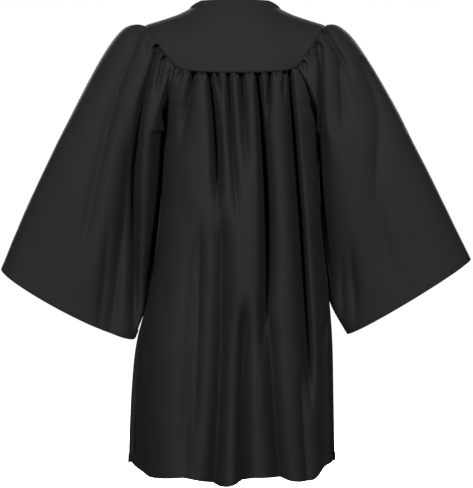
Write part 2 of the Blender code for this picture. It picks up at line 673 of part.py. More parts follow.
def plate(name, outline, hole, thickness, finish):
    """A flat plate with one hole, from two outlines in its own XY plane."""
    curve = bpy.data.curves.new(name, "CURVE")
    curve.dimensions = "2D"
    curve.fill_mode = "BOTH"
    curve.extrude = thickness * MM / 2
    for loop in (outline, hole):
        spline = curve.splines.new("POLY")
        spline.points.add(len(loop) - 1)
        for point, (x, y) in zip(spline.points, loop):
            point.co = (x * MM, y * MM, 0.0, 1.0)
        spline.use_cyclic_u = True
    flat = bpy.data.objects.new(name + "_outline", curve)
    GOWN.objects.link(flat)
    evaluated = flat.evaluated_get(bpy.context.evaluated_depsgraph_get())
    mesh = bpy.data.meshes.new_from_object(evaluated)
    bpy.data.objects.remove(flat)
    cage = bmesh.new()
    cage.from_mesh(mesh)
    bmesh.ops.remove_doubles(cage, verts=cage.verts, dist=WELD * MM)
    cage.to_mesh(mesh)
    cage.free()
    mesh.name = name
    mesh.materials.append(finish)
    piece = bpy.data.objects.new(name, mesh)
    GOWN.objects.link(piece)
    return piece


def arch(half_length, foot, top, slope, corner):
    """The outline of a low arch: leaning sides and a flat top with cut corners."""
    shoulder_place, top_place = half_length - slope, half_length - slope - corner
    return [
        (-half_length, foot),
        (half_length, foot),
        (shoulder_place, top - corner),
        (top_place, top),
        (-top_place, top),
        (-shoulder_place, top - corner),
    ]


def zip_slider(place, way, out):
    """The slider: a bevelled body on the coil with a bridge over it that holds the pull."""
    body = placed(block("zip_slider", SLIDER_SIZE, SLIDER_BEVEL, zip_metal), place, X_AXIS, way)
    half_length = BRIDGE_LENGTH / 2
    outline = arch(half_length, -BRIDGE_BAR / 2, BRIDGE_HEIGHT, BRIDGE_SLOPE, BRIDGE_CORNER)
    eye_top = BRIDGE_HEIGHT - BRIDGE_BAR
    hole = arch(half_length - BRIDGE_BAR, EYE_FOOT, eye_top, EYE_SLOPE, EYE_CORNER)
    bridge = plate("zip_slider_bridge", outline, hole, BRIDGE_WIDTH, zip_metal)
    placed(bridge, place + out * SLIDER_SIZE[2] / 2, way, out)
    bridge.hide_render = True
    bridge.display_type = "WIRE"
    joined = body.modifiers.new("bridge", "BOOLEAN")
    joined.operation = "UNION"
    joined.object = bridge
    return body


def pull_tab(place, way):
    """The pull tab, from the bar in the bridge down to a round end. Its origin is on that bar."""
    half_width, bar = PULL_WIDTH / 2, PULL_BAR / 2
    round_centre = PULL_LENGTH - bar - half_width
    outline = [(-half_width, -bar), (half_width, -bar)]
    for angle in np.linspace(0, np.pi, PULL_END_POINTS):
        outline.append((half_width * np.cos(angle), round_centre + half_width * np.sin(angle)))
    hole = [
        (-PULL_EYE_HALF_WIDTH, bar),
        (PULL_EYE_HALF_WIDTH, bar),
        (PULL_EYE_HALF_WIDTH, bar + PULL_EYE_LENGTH),
        (-PULL_EYE_HALF_WIDTH, bar + PULL_EYE_LENGTH),
    ]
    tab = plate("zip_pull_tab", outline, hole, PULL_THICKNESS, zip_metal)
    return placed(tab, place, X_AXIS, way)


def material(name, colour, roughness, metallic=0.0):
    finish = bpy.data.materials.new(name)
    finish.use_nodes = True
    shader = finish.node_tree.nodes["Principled BSDF"]
    shader.inputs["Base Color"].default_value = colour
    shader.inputs["Roughness"].default_value = roughness
    shader.inputs["Metallic"].default_value = metallic
    return finish


# The scene starts empty, with one collection for the gown
for startup_object in list(bpy.data.objects):
    bpy.data.objects.remove(startup_object, do_unlink=True)
GOWN = bpy.data.collections.new("graduation_gown")
bpy.context.scene.collection.children.link(GOWN)

cloth = material("black gown cloth", BLACK_CLOTH, 0.8)
tape_cloth = material("black woven tape", BLACK_CLOTH, 0.9)
coil_nylon = material("black nylon coil", BLACK_CLOTH, 0.45)
zip_metal = material("black painted zinc", BLACK_CLOTH, 0.4)

# The smooth grids of the body, before folds and seams
back_hands = np.where(np.arange(BACK_CELLS + 1) >= HALF_BACK_CELLS, 1.0, -1.0)
back_shares = np.abs(np.linspace(-1, 1, BACK_CELLS + 1))
front_shares = np.linspace(0, 1, FRONT_CELLS + 1)
smooth_back = panel("back", back_shares, back_hands, BACK_ARMHOLE_DROPS)
smooth_back_yoke = yoke(neck_back(back_shares, back_hands), smooth_back[0], NECK_BACK_DEPTH)
back_yoke = smooth_back_yoke.copy()
back = folded(smooth_back, BACK_FOLDS, "back")
UNDERARM_ROW = len(BACK_ARMHOLE_DROPS) - 1

# The fronts leave room for the zip between them, and below it they are sewn together
front_gaps = np.full((len(FRONT_ARMHOLE_DROPS + SIDE_DROPS), 1), FRONT_EDGE)
front_gaps[-ROWS_BELOW_ZIP:] = SEAM_GAP / 2

# The yoke seam and the edges of the back
across, through = seam(
    smooth_back[0],
    smooth_back_yoke[-2] - smooth_back_yoke[-1],
    smooth_back[1] - smooth_back[0],
    (0, 1, 0),
)
back_yoke[-1] -= across * SEAM_GAP / 2
back[0] += across * SEAM_GAP / 2
yoke_offsets = facing(grid_normals(back_yoke), (0, 1, 1)) * CLOTH / 2
back_offsets = facing(grid_normals(back), (0, 1, 0)) * CLOTH / 2
yoke_offsets[-1] = through
back_offsets[0] = through

for hand, name, folds, cuff, fullness, sleeve_folds in (
    (1.0, "left", FRONT_LEFT_FOLDS, LEFT_CUFF, LEFT_FULLNESS, LEFT_SLEEVE_FOLDS),
    (-1.0, "right", FRONT_RIGHT_FOLDS, RIGHT_CUFF, RIGHT_FULLNESS, RIGHT_SLEEVE_FOLDS),
):
    mirror = np.array([hand, 1.0, 1.0])
    edge = -1 if hand > 0 else 0
    inner = -2 if hand > 0 else 1
    smooth_front = panel("front", front_shares, hand, FRONT_ARMHOLE_DROPS, front_gaps)
    smooth_front_yoke = yoke(neck_front(front_shares, hand), smooth_front[0], NECK_FRONT_DEPTH)
    front_yoke = smooth_front_yoke.copy()
    front = folded(smooth_front, folds, "front")

    # The armhole ring starts on the shoulder and runs down the back and up the front
    armhole = np.concatenate(
        [
            smooth_back_yoke[:, edge],
            smooth_back[1 : UNDERARM_ROW + 1, edge],
            smooth_front[:UNDERARM_ROW, -1][::-1],
            smooth_front_yoke[1:-1, -1][::-1],
        ]
    )
    into_body = np.concatenate(
        [
            smooth_back_yoke[:, inner],
            smooth_back[1 : UNDERARM_ROW + 1, inner],
            smooth_front[:UNDERARM_ROW, -2][::-1],
            smooth_front_yoke[1:-1, -2][::-1],
        ]
    ) - armhole
    underarm_node = YOKE_CELLS + UNDERARM_ROW
    into_body[underarm_node] = (
        smooth_back[UNDERARM_ROW + 1, edge] - smooth_back[UNDERARM_ROW, edge]
    )
    body_normals = np.concatenate(
        [
            facing(grid_normals(smooth_back_yoke), (0, 1, 1))[:, edge],
            facing(grid_normals(smooth_back), (0, 1, 0))[1 : UNDERARM_ROW + 1, edge],
            facing(grid_normals(smooth_front), (0, -1, 0))[:UNDERARM_ROW, -1][::-1],
            facing(grid_normals(smooth_front_yoke), (0, -1, 1))[1:-1, -1][::-1],
        ]
    )
    body_normals[underarm_node] = (hand, 0, 0)
    lengths = np.linalg.norm(np.roll(armhole, -1, axis=0) - armhole, axis=1)
    travelled = np.concatenate([[0], np.cumsum(lengths)])
    halfway, whole = travelled[underarm_node], travelled[-1]
    node_shares = np.where(
        travelled < halfway,
        travelled / halfway / 2,
        0.5 + (travelled - halfway) / (whole - halfway) / 2,
    )
    across, through = seam(
        armhole * mirror,
        into_body * mirror,
        leaving(node_shares[:-1]),
        body_normals * mirror,
        ring=True,
    )
    parts = (
        [SLEEVE_PARTS_PER_YOKE_CELL] * YOKE_CELLS
        + [SLEEVE_PARTS_PER_PANEL_CELL] * 2 * UNDERARM_ROW
        + [SLEEVE_PARTS_PER_YOKE_CELL] * YOKE_CELLS
    )
    sleeve_start = finer_ring(armhole * mirror + across * SEAM_GAP / 2, parts)
    share_pieces = [
        first + (second - first) * np.arange(count) / count
        for first, second, count in zip(node_shares[:-1], node_shares[1:], parts)
    ]
    shares = np.concatenate(share_pieces)
    sleeve_grid = sleeve(sleeve_start, shares, cuff, fullness, sleeve_folds, name)
    sleeve_offsets = ring_normals(sleeve_grid) * CLOTH / 2
    sleeve_offsets[0] = finer_ring(through, parts)
    wall(f"sleeve_{name}", sleeve_grid * mirror, sleeve_offsets * mirror, cloth, ring=True)

    # The front, its yoke and the shoulder seam
    front_across, front_through = seam(
        smooth_front[0],
        smooth_front_yoke[-2] - smooth_front_yoke[-1],
        smooth_front[1] - smooth_front[0],
        (0, -1, 0),
    )
    front_yoke[-1] -= front_across * SEAM_GAP / 2
    front[0] += front_across * SEAM_GAP / 2
    front_yoke_offsets = facing(grid_normals(front_yoke), (0, -1, 1)) * CLOTH / 2
    front_offsets = facing(grid_normals(front), (0, -1, 0)) * CLOTH / 2
    front_offsets[:, 0, 0] = 0.0
    front_yoke_offsets[-1] = front_through
    front_offsets[0] = front_through
    if hand > 0:
        back_shoulder = np.s_[-SHOULDER_CELLS - 1 :]
    else:
        back_shoulder = np.s_[SHOULDER_CELLS::-1]
    front_shoulder = np.s_[-SHOULDER_CELLS - 1 :]
    shoulder_across, shoulder_through = seam(
        smooth_back_yoke[0, back_shoulder],
        smooth_back_yoke[1, back_shoulder] - smooth_back_yoke[0, back_shoulder],
        smooth_front_yoke[1, front_shoulder] - smooth_front_yoke[0, front_shoulder],
        (0, 0, 1),
    )
    back_yoke[0, back_shoulder] -= shoulder_across * SEAM_GAP / 2
    front_yoke[0, front_shoulder] += shoulder_across * SEAM_GAP / 2
    yoke_offsets[0, back_shoulder] = shoulder_through
    front_yoke_offsets[0, front_shoulder] = shoulder_through

    # The side seam below the underarm
    below = np.s_[UNDERARM_ROW:]
    side_across, side_through = seam(
        smooth_back[below, edge],
        smooth_back[below, inner] - smooth_back[below, edge],
        smooth_front[below, -2] - smooth_front[below, -1],
        (hand, 0, 0),
    )
    back[below, edge] -= side_across * SEAM_GAP / 2
    front[below, -1] += side_across * SEAM_GAP / 2
    back_offsets[below, edge] = side_through
    front_offsets[below, -1] = side_through

    # The body's edges along the armhole, which its corners share with the seams above
    across = across * mirror
    through = through * mirror
    back_yoke[:, edge] -= across[: YOKE_CELLS + 1] * SEAM_GAP / 2
    yoke_offsets[:, edge] = through[: YOKE_CELLS + 1]
    back_rows = np.s_[YOKE_CELLS : underarm_node + 1]
    back[: UNDERARM_ROW + 1, edge] -= across[back_rows] * SEAM_GAP / 2
    back_offsets[: UNDERARM_ROW + 1, edge] = through[back_rows]
    front_rows = np.arange(underarm_node + UNDERARM_ROW, underarm_node - 1, -1)
    front[: UNDERARM_ROW + 1, -1] -= across[front_rows] * SEAM_GAP / 2
    front_offsets[: UNDERARM_ROW + 1, -1] = through[front_rows]
    yoke_rows = np.concatenate([[0], np.arange(len(armhole) - 1, underarm_node + UNDERARM_ROW - 1, -1)])
    front_yoke[:, -1] -= across[yoke_rows] * SEAM_GAP / 2
    front_yoke_offsets[:, -1] = through[yoke_rows]
    wall(f"front_yoke_{name}", front_yoke, front_yoke_offsets, cloth)
    wall(f"front_panel_{name}", front, front_offsets, cloth)

    # The zip tape behind the front edge, from points read along the rows of the yoke and the front
    rows = np.concatenate([front_yoke[:-1], smooth_front[:1], front[1:-ROWS_BELOW_ZIP]])
    tape_outs = np.array([TAPE_INNER, FRONT_EDGE, TAPE_MIDDLE, TAPE_OUTER])
    tape_grid = np.empty((len(rows), len(tape_outs), 3))
    tape_grid[..., 0] = tape_outs * hand
    for row, points in enumerate(rows):
        tape_grid[row, :, 1] = np.interp(tape_outs, np.abs(points[:, 0]), points[:, 1])
        tape_grid[row, :, 2] = np.interp(tape_outs, np.abs(points[:, 0]), points[:, 2])
    tape_normals = facing(grid_normals(tape_grid), (0, -1, 0))
    tape_grid -= tape_normals * (CLOTH / 2 + SEAM_GAP + TAPE / 2)
    wall(f"zip_tape_{name}", tape_grid, tape_normals * TAPE / 2, tape_cloth)
    centre_line = rows[:, 0] * (0, 1, 1)

wall("back_yoke", back_yoke, yoke_offsets, cloth)
wall("back_panel", back, back_offsets, cloth)


# The closed coil lies on the tapes between the front edges, and ends above its metal stop
coil_floor = -CLOTH / 2
zip_line = centre_line.copy()
last_way = unit(zip_line[-1] - zip_line[-2])
zip_line[-1] -= last_way * (STOP_SIZE[1] + 2 * SEAM_GAP)
coil_grid = np.stack([zip_line - X_AXIS * COIL_HALF_WIDTH, zip_line + X_AXIS * COIL_HALF_WIDTH], axis=1)
coil_normals = facing(grid_normals(coil_grid), (0, -1, 0))
coil_grid += coil_normals * (coil_floor + COIL_THICKNESS / 2)
wall("zip_coil", coil_grid, coil_normals * COIL_THICKNESS / 2, coil_nylon)
last_out = coil_normals[-1, 0]
stop_place = zip_line[-1] + last_way * (SEAM_GAP + STOP_SIZE[1] / 2)
stop_place += last_out * (coil_floor + STOP_SIZE[2] / 2)
stop = block("zip_bottom_stop", STOP_SIZE, SLIDER_BEVEL, zip_metal)
placed(stop, stop_place, X_AXIS, last_way)

# The slider on the closed coil, and the pull tab lying on it
slider_from = line_at(zip_line, SLIDER_BELOW_NECK - SLIDER_SIZE[1] / 2)
slider_to = line_at(zip_line, SLIDER_BELOW_NECK + SLIDER_SIZE[1] / 2)
slider_way = unit(slider_to - slider_from)
slider_out = np.cross(slider_way, X_AXIS)
slider_height = coil_floor + COIL_THICKNESS + SLIDER_CLEARANCE + SLIDER_SIZE[2] / 2
slider_place = (slider_from + slider_to) / 2 + slider_out * slider_height
zip_slider(slider_place, slider_way, slider_out)
pull_tab(slider_place + slider_out * (SLIDER_SIZE[2] / 2 + PULL_AXIS_HEIGHT), slider_way)
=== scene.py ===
"""A child's graduation gown of matte black polyester, filled out as it is worn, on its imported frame.

Cloth pieces are grids of points worked out in millimetres, with rows down the cloth and columns
across it. The origin lies midway between the wearer's shoulders, +Z is up, the front of the gown
faces -Y and the wearer's left is +X. A drop is a distance below the origin.
"""

from collections import namedtuple

import bpy
import numpy as np
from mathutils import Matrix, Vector


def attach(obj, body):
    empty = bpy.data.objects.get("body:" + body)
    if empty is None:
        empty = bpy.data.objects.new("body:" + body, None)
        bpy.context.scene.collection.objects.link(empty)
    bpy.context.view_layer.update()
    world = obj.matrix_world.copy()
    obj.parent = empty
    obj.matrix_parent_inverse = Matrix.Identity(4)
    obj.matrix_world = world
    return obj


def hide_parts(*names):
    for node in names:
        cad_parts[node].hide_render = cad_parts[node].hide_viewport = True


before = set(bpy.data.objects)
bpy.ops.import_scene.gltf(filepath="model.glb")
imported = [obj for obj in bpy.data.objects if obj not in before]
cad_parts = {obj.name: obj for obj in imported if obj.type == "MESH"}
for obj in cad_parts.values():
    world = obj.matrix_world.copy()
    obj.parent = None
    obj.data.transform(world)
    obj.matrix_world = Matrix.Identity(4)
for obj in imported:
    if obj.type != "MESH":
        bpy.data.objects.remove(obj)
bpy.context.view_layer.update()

MM = 0.001
BODY = "gown"
X_AXIS = np.array([1.0, 0.0, 0.0])

# Camera: behind the gown, level, and as far away as the folds below were read from
VIEW_DISTANCE = 2600.0
CAMERA_X = -2.4
CAMERA_HEIGHT = -358.0
FRAME_HEIGHT = 772.0
SENSOR = 36.0
FLOOR_DROP = 935.0
AMBIENT = 0.03

# Neck and shoulders
NECK_HALF_WIDTH = 74.0
NECK_SIDE_HEIGHT = 10.0
NECK_BACK_DEPTH = 45.0
NECK_BACK_RISE = 12.0
NECK_FLAT_SHARE = 0.70
NECK_RISE_POWER = 1.3
NECK_FRONT_DEPTH = 62.0
NECK_FRONT_DROP = 52.0
SHOULDER_REACH = 143.0
SHOULDER_DROP = 12.0
SHOULDER_HOLLOW = 0.00059
BACK_NECK_SHARE = 19 / 34
FRONT_NECK_SHARE = 13 / 28
SEAM_TILT = 8.0
NECK_TILT = 27.0
BACK_EASING_SPREAD = 40 / 68**2
FRONT_EASING_SPREAD = 40 / 28**2

# The seams below the yokes, and the panels
BACK_YOKE_DROP = 95.5
BACK_TOP_DROP = 86.0
FRONT_TOP_DROP = 82.0
FRONT_EDGE = 3.6
SEWN_EDGE = 0.1
ZIP_END_DROP = 575.0
SEWN_FROM_DROP = 597.0
YOKE_SEAM_ANGLE = 65.0
COLUMN_EVENING = 0.25
UNDERARM_DROP = 178.0
HEM_DROP = 702.0
HEM_DEPTH = 12.0

# Grids: cells across each piece and rows down it
BACK_CELLS = 380
FRONT_CELLS = 190
YOKE_ROWS = 52
GATHER_END_DROP = 140.0
GATHER_ROWS = 44
SKIRT_ROWS = 186
HEM_ROWS = 6
EDGE_TURNING_ROWS = 8
NECK_TURNING_ROWS = 4
CUFF_TURNING_ROWS = 5
SLEEVE_ROUND = 620.0
SLEEVE_CELLS = 300
SLEEVE_ROWS = 156

Sag = namedtuple("Sag", "edge_drop back front")
SAGS = (
    Sag(86.0, BACK_YOKE_DROP - 86.0, 18.0),
    Sag(178.0, 7.0, 12.0),
    Sag(345.0, 2.0, 2.0),
    Sag(530.0, 8.0, 7.0),
    Sag(702.0, 22.0, 20.0),
)
Edge = namedtuple("Edge", "drop left right back front")
EDGES = (
    Edge(82.0, 92.0, 95.0, 64.0, 70.0),
    Edge(100.0, 97.0, 105.0, 63.0, 68.0),
    Edge(118.0, 101.0, 113.5, 57.0, 61.0),
    Edge(140.0, 104.0, 121.5, 45.0, 49.0),
    Edge(160.0, 107.0, 128.0, 26.0, 29.0),
    Edge(178.0, 110.0, 131.0, 0.0, 0.0),
    Edge(250.0, 114.0, 132.0, 0.0, 0.0),
    Edge(340.0, 121.0, 138.0, 0.0, 0.0),
    Edge(430.0, 134.0, 148.0, 0.0, 0.0),
    Edge(510.0, 155.0, 154.0, 0.0, 0.0),
    Edge(600.0, 164.0, 156.0, 0.0, 0.0),
    Edge(702.0, 168.0, 158.0, 0.0, 0.0),
)
Middle = namedtuple("Middle", "drop back front")
MIDDLES = (
    Middle(87.0, 82.0, 90.0),
    Middle(100.0, 84.5, 92.0),
    Middle(170.0, 92.0, 104.0),
    Middle(250.0, 97.0, 109.0),
    Middle(340.0, 101.0, 113.0),
    Middle(530.0, 110.0, 121.0),
    Middle(724.0, 118.0, 126.0),
)
SAG_POWER = 2.2
HemPlace = namedtuple("HemPlace", "x back front")
HEM = (
    HemPlace(-158.0, -4.0, -4.0),
    HemPlace(-142.0, -7.0, -3.0),
    HemPlace(-126.0, 4.0, 2.0),
    HemPlace(-116.0, 6.0, 5.0),
    HemPlace(-104.0, 4.0, 4.0),
    HemPlace(-86.0, 0.0, -2.0),
    HemPlace(-68.0, -6.0, -6.0),
    HemPlace(-49.0, -10.0, -5.0),
    HemPlace(-31.0, -11.0, 0.0),
    HemPlace(-13.0, -6.0, 2.0),
    HemPlace(5.0, 0.0, 0.0),
    HemPlace(23.0, 2.0, -3.0),
    HemPlace(42.0, -3.0, -6.0),
    HemPlace(60.0, -6.0, -4.0),
    HemPlace(78.0, -7.0, 1.0),
    HemPlace(96.0, -4.0, 4.0),
    HemPlace(115.0, 0.0, 0.0),
    HemPlace(133.0, 3.0, -3.0),
    HemPlace(150.0, 0.0, -2.0),
    HemPlace(168.0, 0.0, 0.0),
)
HEM_WAVE_START = 560.0

# Folds of the panels. Each runs down the cloth from its start to its end. Its place is across the
# gown as the camera sees it, + on the wearer's left, and its depth is into the gown, so a ridge has
# a negative one.
Fold = namedtuple(
    "Fold",
    "start end x_start x_middle x_end deep_start deep_middle deep_end wide_start wide_end lean",
    defaults=(0.0,),
)
BACK_FOLDS = (
    Fold(80, 118, 84, 88, 92, 7, 4, 0, 2.4, 5),
    Fold(78, 250, 63, 80, 92, 18, 10, 0, 3.0, 10),
    Fold(78, 108, 52, 52, 52, 8, 5, 0, 2.2, 3),
    Fold(78, 350, 42, 29, 31, 16, 30, 3, 3.0, 9),
    Fold(78, 150, 31, 24, 25, 12, 7, 0, 2.4, 4),
    Fold(78, 372, 11, 3, -8, 14, 15, 0, 2.6, 8),
    Fold(78, 102, -3, -3, -3, 7, 3, 0, 2.2, 3),
    Fold(78, 300, -10, -16, -24, 19, 12, 0, 3.0, 8),
    Fold(78, 106, -22, -22, -22, 6, 3, 0, 2.2, 3),
    Fold(78, 560, -33, -49, -42, 19, 44, 9, 3.2, 11, -0.35),
    Fold(78, 200, -55, -53, -49, 16, 12, 0, 3.0, 5),
    Fold(78, 106, -66, -66, -66, 6, 3, 0, 2.2, 3),
    Fold(78, 150, -77, -78, -79, 10, 6, 0, 2.4, 4),
    Fold(78, 650, -86, -108, -122, 18, 38, 7, 3.2, 9, 0.35),
    Fold(290, 880, 22, 25, 46, 18, 26, 30, 12, 14),
    Fold(300, 700, 56, 59, 66, 9, 10, 6, 9, 12),
    Fold(330, 780, 62, 75, 80, 6, 10, 10, 12, 15),
    Fold(450, 880, -54, -66, -88, 18, 26, 28, 11, 14),
    Fold(430, 880, -19, -11, -22, 18, 30, 28, 10, 13),
    Fold(400, 880, 152, 166, 170, 10, 34, 38, 24, 30),
    Fold(300, 880, -142, -164, -168, 6, 26, 28, 20, 26),
    Fold(540, 880, -104, -113, -130, 6, 10, 12, 7, 9),
    Fold(190, 880, 10, -6, 14, -3, -6, -8, 14, 22),
)
FRONT_LEFT_FOLDS = (
    Fold(92, 330, 24, 26, 30, 11, 10, 0, 4, 12),
    Fold(92, 125, 33, 33, 33, 4, 3, 0, 3, 4),
    Fold(90, 560, 42, 49, 46, 12, 17, 5, 4, 13),
    Fold(90, 140, 53, 54, 56, 6, 4, 0, 3, 5),
    Fold(88, 250, 63, 68, 76, 11, 8, 0, 4, 10),
    Fold(86, 115, 73, 73, 73, 4, 3, 0, 3, 4),
    Fold(84, 480, 83, 96, 108, 10, 13, 4, 4, 12),
    Fold(450, 760, 60, 66, 74, 4, 8, 9, 14, 18),
    Fold(500, 760, 122, 128, 131, 4, 7, 7, 12, 15),
    Fold(300, 760, 30, 28, 34, -3, -7, -9, 14, 20),
    Fold(300, 760, 88, 94, 102, -4, -7, -8, 15, 20),
)
FRONT_RIGHT_FOLDS = (
    Fold(92, 420, 22, 30, 34, 11, 13, 4, 4, 13),
    Fold(92, 120, 31, 31, 31, 4, 2, 0, 3, 4),
    Fold(90, 210, 41, 42, 45, 9, 7, 0, 4, 9),
    Fold(90, 130, 50, 50, 51, 5, 3, 0, 3, 5),
    Fold(88, 590, 60, 68, 63, 12, 18, 6, 4, 13),
    Fold(86, 118, 71, 71, 72, 4, 3, 0, 3, 4),
    Fold(84, 300, 81, 90, 101, 10, 9, 0, 4, 10),
    Fold(430, 760, 36, 42, 50, 4, 8, 8, 14, 18),
    Fold(520, 760, 100, 108, 114, 4, 8, 8, 13, 17),
    Fold(320, 760, 84, 82, 80, -3, -6, -8, 14, 20),
    Fold(460, 760, 20, 20, 22, -3, -5, -7, 12, 16),
)
BACK_FOLD_DEPTH = 1.22
FRONT_FOLD_DEPTH = 1.6
ROW_EASINGS = 80
EASED_FROM_SIDE = 0.08
SIDE_FADE = 0.09
FRONT_SIDE_FADE = 0.11
ZIP_FLAT = 16.0
ZIP_FLAT_FADE = 8.0
LONG_FOLD_GROWTH = 70.0
SEAM_FOLD_GROWTH = 10.0
FADE_SHARE = 0.6
TROUGH_POWER = 1.35
LAYER_FADE = 0.22
BACK_CREASE_DEPTH = 1.15
FRONT_CREASE_DEPTH = 1.4
LONGEST_FADE = 110.0
FIRST_LONG_FOLD = 115.0

# Sleeves
Cuff = namedtuple("Cuff", "tip_out tip_drop foot_out foot_drop back_sag front_lift half_depth")
LEFT_CUFF = Cuff(367.0, 398.0, 157.0, 507.0, 13.0, 14.0, 50.0)
RIGHT_CUFF = Cuff(370.0, 383.0, 177.0, 500.0, 4.0, 16.0, 50.0)
FULLNESS_PLACES = (0.0, 0.06, 0.15, 0.35, 0.6, 0.85, 1.0)
LEFT_FULLNESS = (0.0, 6.0, 10.5, 8.0, 7.5, 7.0, 3.0)
RIGHT_FULLNESS = (0.0, 4.5, 5.5, 4.0, 3.0, 3.5, 3.0)
FULLNESS_WAY = np.array([0.89, 0.0, 0.45])
BODY_CLEARANCE = 1.5
CLEARANCE_SOFTNESS = 4.0
CLEARANCE_START = 20.0
OUTWARD_LOSS = 0.45
SIDE_SPREAD = 0.30
SIDE_FALL = 0.75
TOP_RISE = 0.19
LEAVING_PULL = 60.0
SIDE_PULL = 60.0
TOP_PULL = 100.0
ARRIVING_TOP = np.array([200.0, 0.0, -400.0])
ARRIVING_UNDER = np.array([230.0, 0.0, -380.0])
UNDERARM_WIDTH = 0.12
UNDERARM_SHELF = 12.0
SHELF_ROUND = 0.41
SHELF_WIDTH = 0.07
SHELF_PLACE = 0.12
SHELF_LENGTH = 0.07
SHELF_START = 0.05
UNDERSIDE_FORWARD = 48.0
UNDERSIDE_INWARD = 16.0
FORWARD_START = 0.12
INWARD_START = 0.12
FORWARD_END = 0.3

# Creases of the sleeves on their back and front layers, with four places across as seen from
# behind, at the start, a quarter, a half and the end of the crease's drop
Crease = namedtuple(
    "Crease",
    "start end x_start x_quarter x_half x_end deep_start deep_middle deep_end wide_start wide_end growth",
    defaults=(12.0,),
)
LEFT_BACK_CREASES = (
    Crease(38, 545, 120, 153, 163, 158, 10, 34, 22, 4, 13),
    Crease(8, 430, 146, 185, 213, 254, 9, 11, 6, 8, 14),
    Crease(50, 150, 110, 116, 121, 128, 11, 9, 0, 3, 5),
    Crease(80, 196, 100, 104, 107, 113, 8, 12, 6, 3, 4),
    Crease(34, 82, 125, 126, 127, 129, 8, 6, 0, 3, 4),
    Crease(40, 68, 117, 117, 118, 118, 6, 4, 0, 2.5, 3),
    Crease(34, 72, 138, 139, 140, 141, 6, 4, 0, 3, 4),
    Crease(178, 505, 114, 120, 128, 148, 42, 28, 12, 8, 7, 6),
    Crease(120, 560, 164, 172, 180, 206, 8, 26, 14, 14, 19, 110),
    Crease(290, 540, 197, 203, 208, 222, 3, 7, 5, 6, 8, 80),
)
RIGHT_BACK_CREASES = (
    Crease(12, 130, 138, 156, 172, 198, 12, 11, 0, 5, 8),
    Crease(60, 220, 165, 168, 171, 172, 4, 9, 0, 6, 9),
    Crease(60, 470, 198, 228, 225, 268, 4, 8, 5, 10, 16),
    Crease(36, 480, 136, 137, 139, 160, 10, 20, 12, 4, 6),
    Crease(180, 330, 128, 130, 132, 138, 30, 16, 0, 6, 6, 8),
    Crease(350, 540, 168, 169, 170, 172, 4, 9, 6, 6, 8, 80),
    Crease(330, 530, 180, 184, 188, 192, 4, 10, 6, 7, 9, 80),
    Crease(42, 90, 116, 118, 120, 124, 8, 5, 0, 3, 4),
    Crease(56, 100, 107, 108, 110, 114, 7, 4, 0, 2.5, 4),
    Crease(26, 84, 130, 131, 132, 133, 9, 8, 0, 3, 4),
)
LEFT_FRONT_CREASES = (
    Crease(40, 420, 122, 150, 163, 190, 8, 15, 5, 5, 9),
    Crease(16, 430, 142, 178, 204, 262, 5, 6, 4, 7, 14),
    Crease(50, 120, 132, 132, 132, 132, 6, 4, 0, 3, 5),
    Crease(56, 104, 118, 120, 122, 126, 5, 4, 0, 3, 5),
    Crease(24, 76, 137, 140, 144, 152, 5, 3, 0, 3, 5),
    Crease(260, 520, 176, 182, 190, 214, 2, 6, 5, 8, 10, 80),
)
RIGHT_FRONT_CREASES = (
    Crease(44, 400, 120, 148, 160, 178, 8, 14, 4, 5, 9),
    Crease(14, 420, 144, 184, 214, 276, 5, 5, 4, 7, 14),
    Crease(50, 116, 131, 131, 132, 134, 6, 4, 0, 3, 5),
    Crease(60, 100, 116, 118, 120, 124, 5, 4, 0, 3, 5),
    Crease(26, 84, 138, 144, 150, 162, 5, 3, 0, 3, 5),
    Crease(240, 520, 204, 208, 216, 236, 2, 6, 5, 8, 11, 80),
)

# Gathers: small puckers along a seam, made from seeded random numbers
Gathers = namedtuple("Gathers", "spacing deepest widest longest")
# Next to a seam only a share of the relief is left, and it rises over a distance below it
PANEL_SEAM_SHARE = 0.35
PANEL_SEAM_RISE = 4.0
SLEEVE_SEAM_SHARE = 0.25
SLEEVE_SEAM_RISE = 3.0
CREASE_RISE = 5.0
DENT_RISE = 40.0
UNDERARM_CALM = 0.1
YOKE_GATHERS = Gathers(6.0, 4.5, 1.7, 26.0)
SLEEVE_GATHERS = Gathers(7.0, 5.0, 2.3, 30.0)
GATHER_START = 4.0
PUFF = 1.0
PUFF_RISE = 7.0
PUFF_END = 46.0

# Edges: how seams roll in, and how deep their allowances and turnings are
SEAM_ROLL = 1.6
SEAM_DIP = 0.9
ALLOWANCE_STEPS = (1.4, 4.0, 7.0)
TURNING_GAP = 1.0
UNDERLAP_DROP = 1.2
STITCH_LINE_DIP = 0.35
STITCH_LINE_WIDTH = 1.1

# Zip: two tapes behind the front edges, and between them the closed coil above its metal stop
CLOTH = 1.3
TAPE_THICKNESS = 1.0
TAPE_BELOW_CLOTH = 1.45
TAPE_OUTS = (0.4, 1.2, 2.0, 2.8, 3.6, 5.0, 6.5, 8.0, 9.5, 11.0, 12.0)
COIL_PITCH = 1.4
COIL_RADIUS = 0.42
COIL_END = 5.6
CoilPoint = namedtuple("CoilPoint", "out height")
COIL_LOOP = (
    CoilPoint(1.75, 0.45),
    CoilPoint(1.45, 0.95),
    CoilPoint(0.55, 1.15),
    CoilPoint(-0.45, 1.1),
    CoilPoint(-0.85, 0.65),
)
COIL_LEAN = 0.25

# Stitches: how long each is with its gap, and how thick the thread
STITCH_PITCH = 2.8
STITCH_LENGTH = 2.1
STITCH_RADIUS = 0.2
STITCH_SUNK = 0.06
BAR_SIDES = 6
BAR_END = 0.45
EDGE_STITCH_PLACE = 5.0


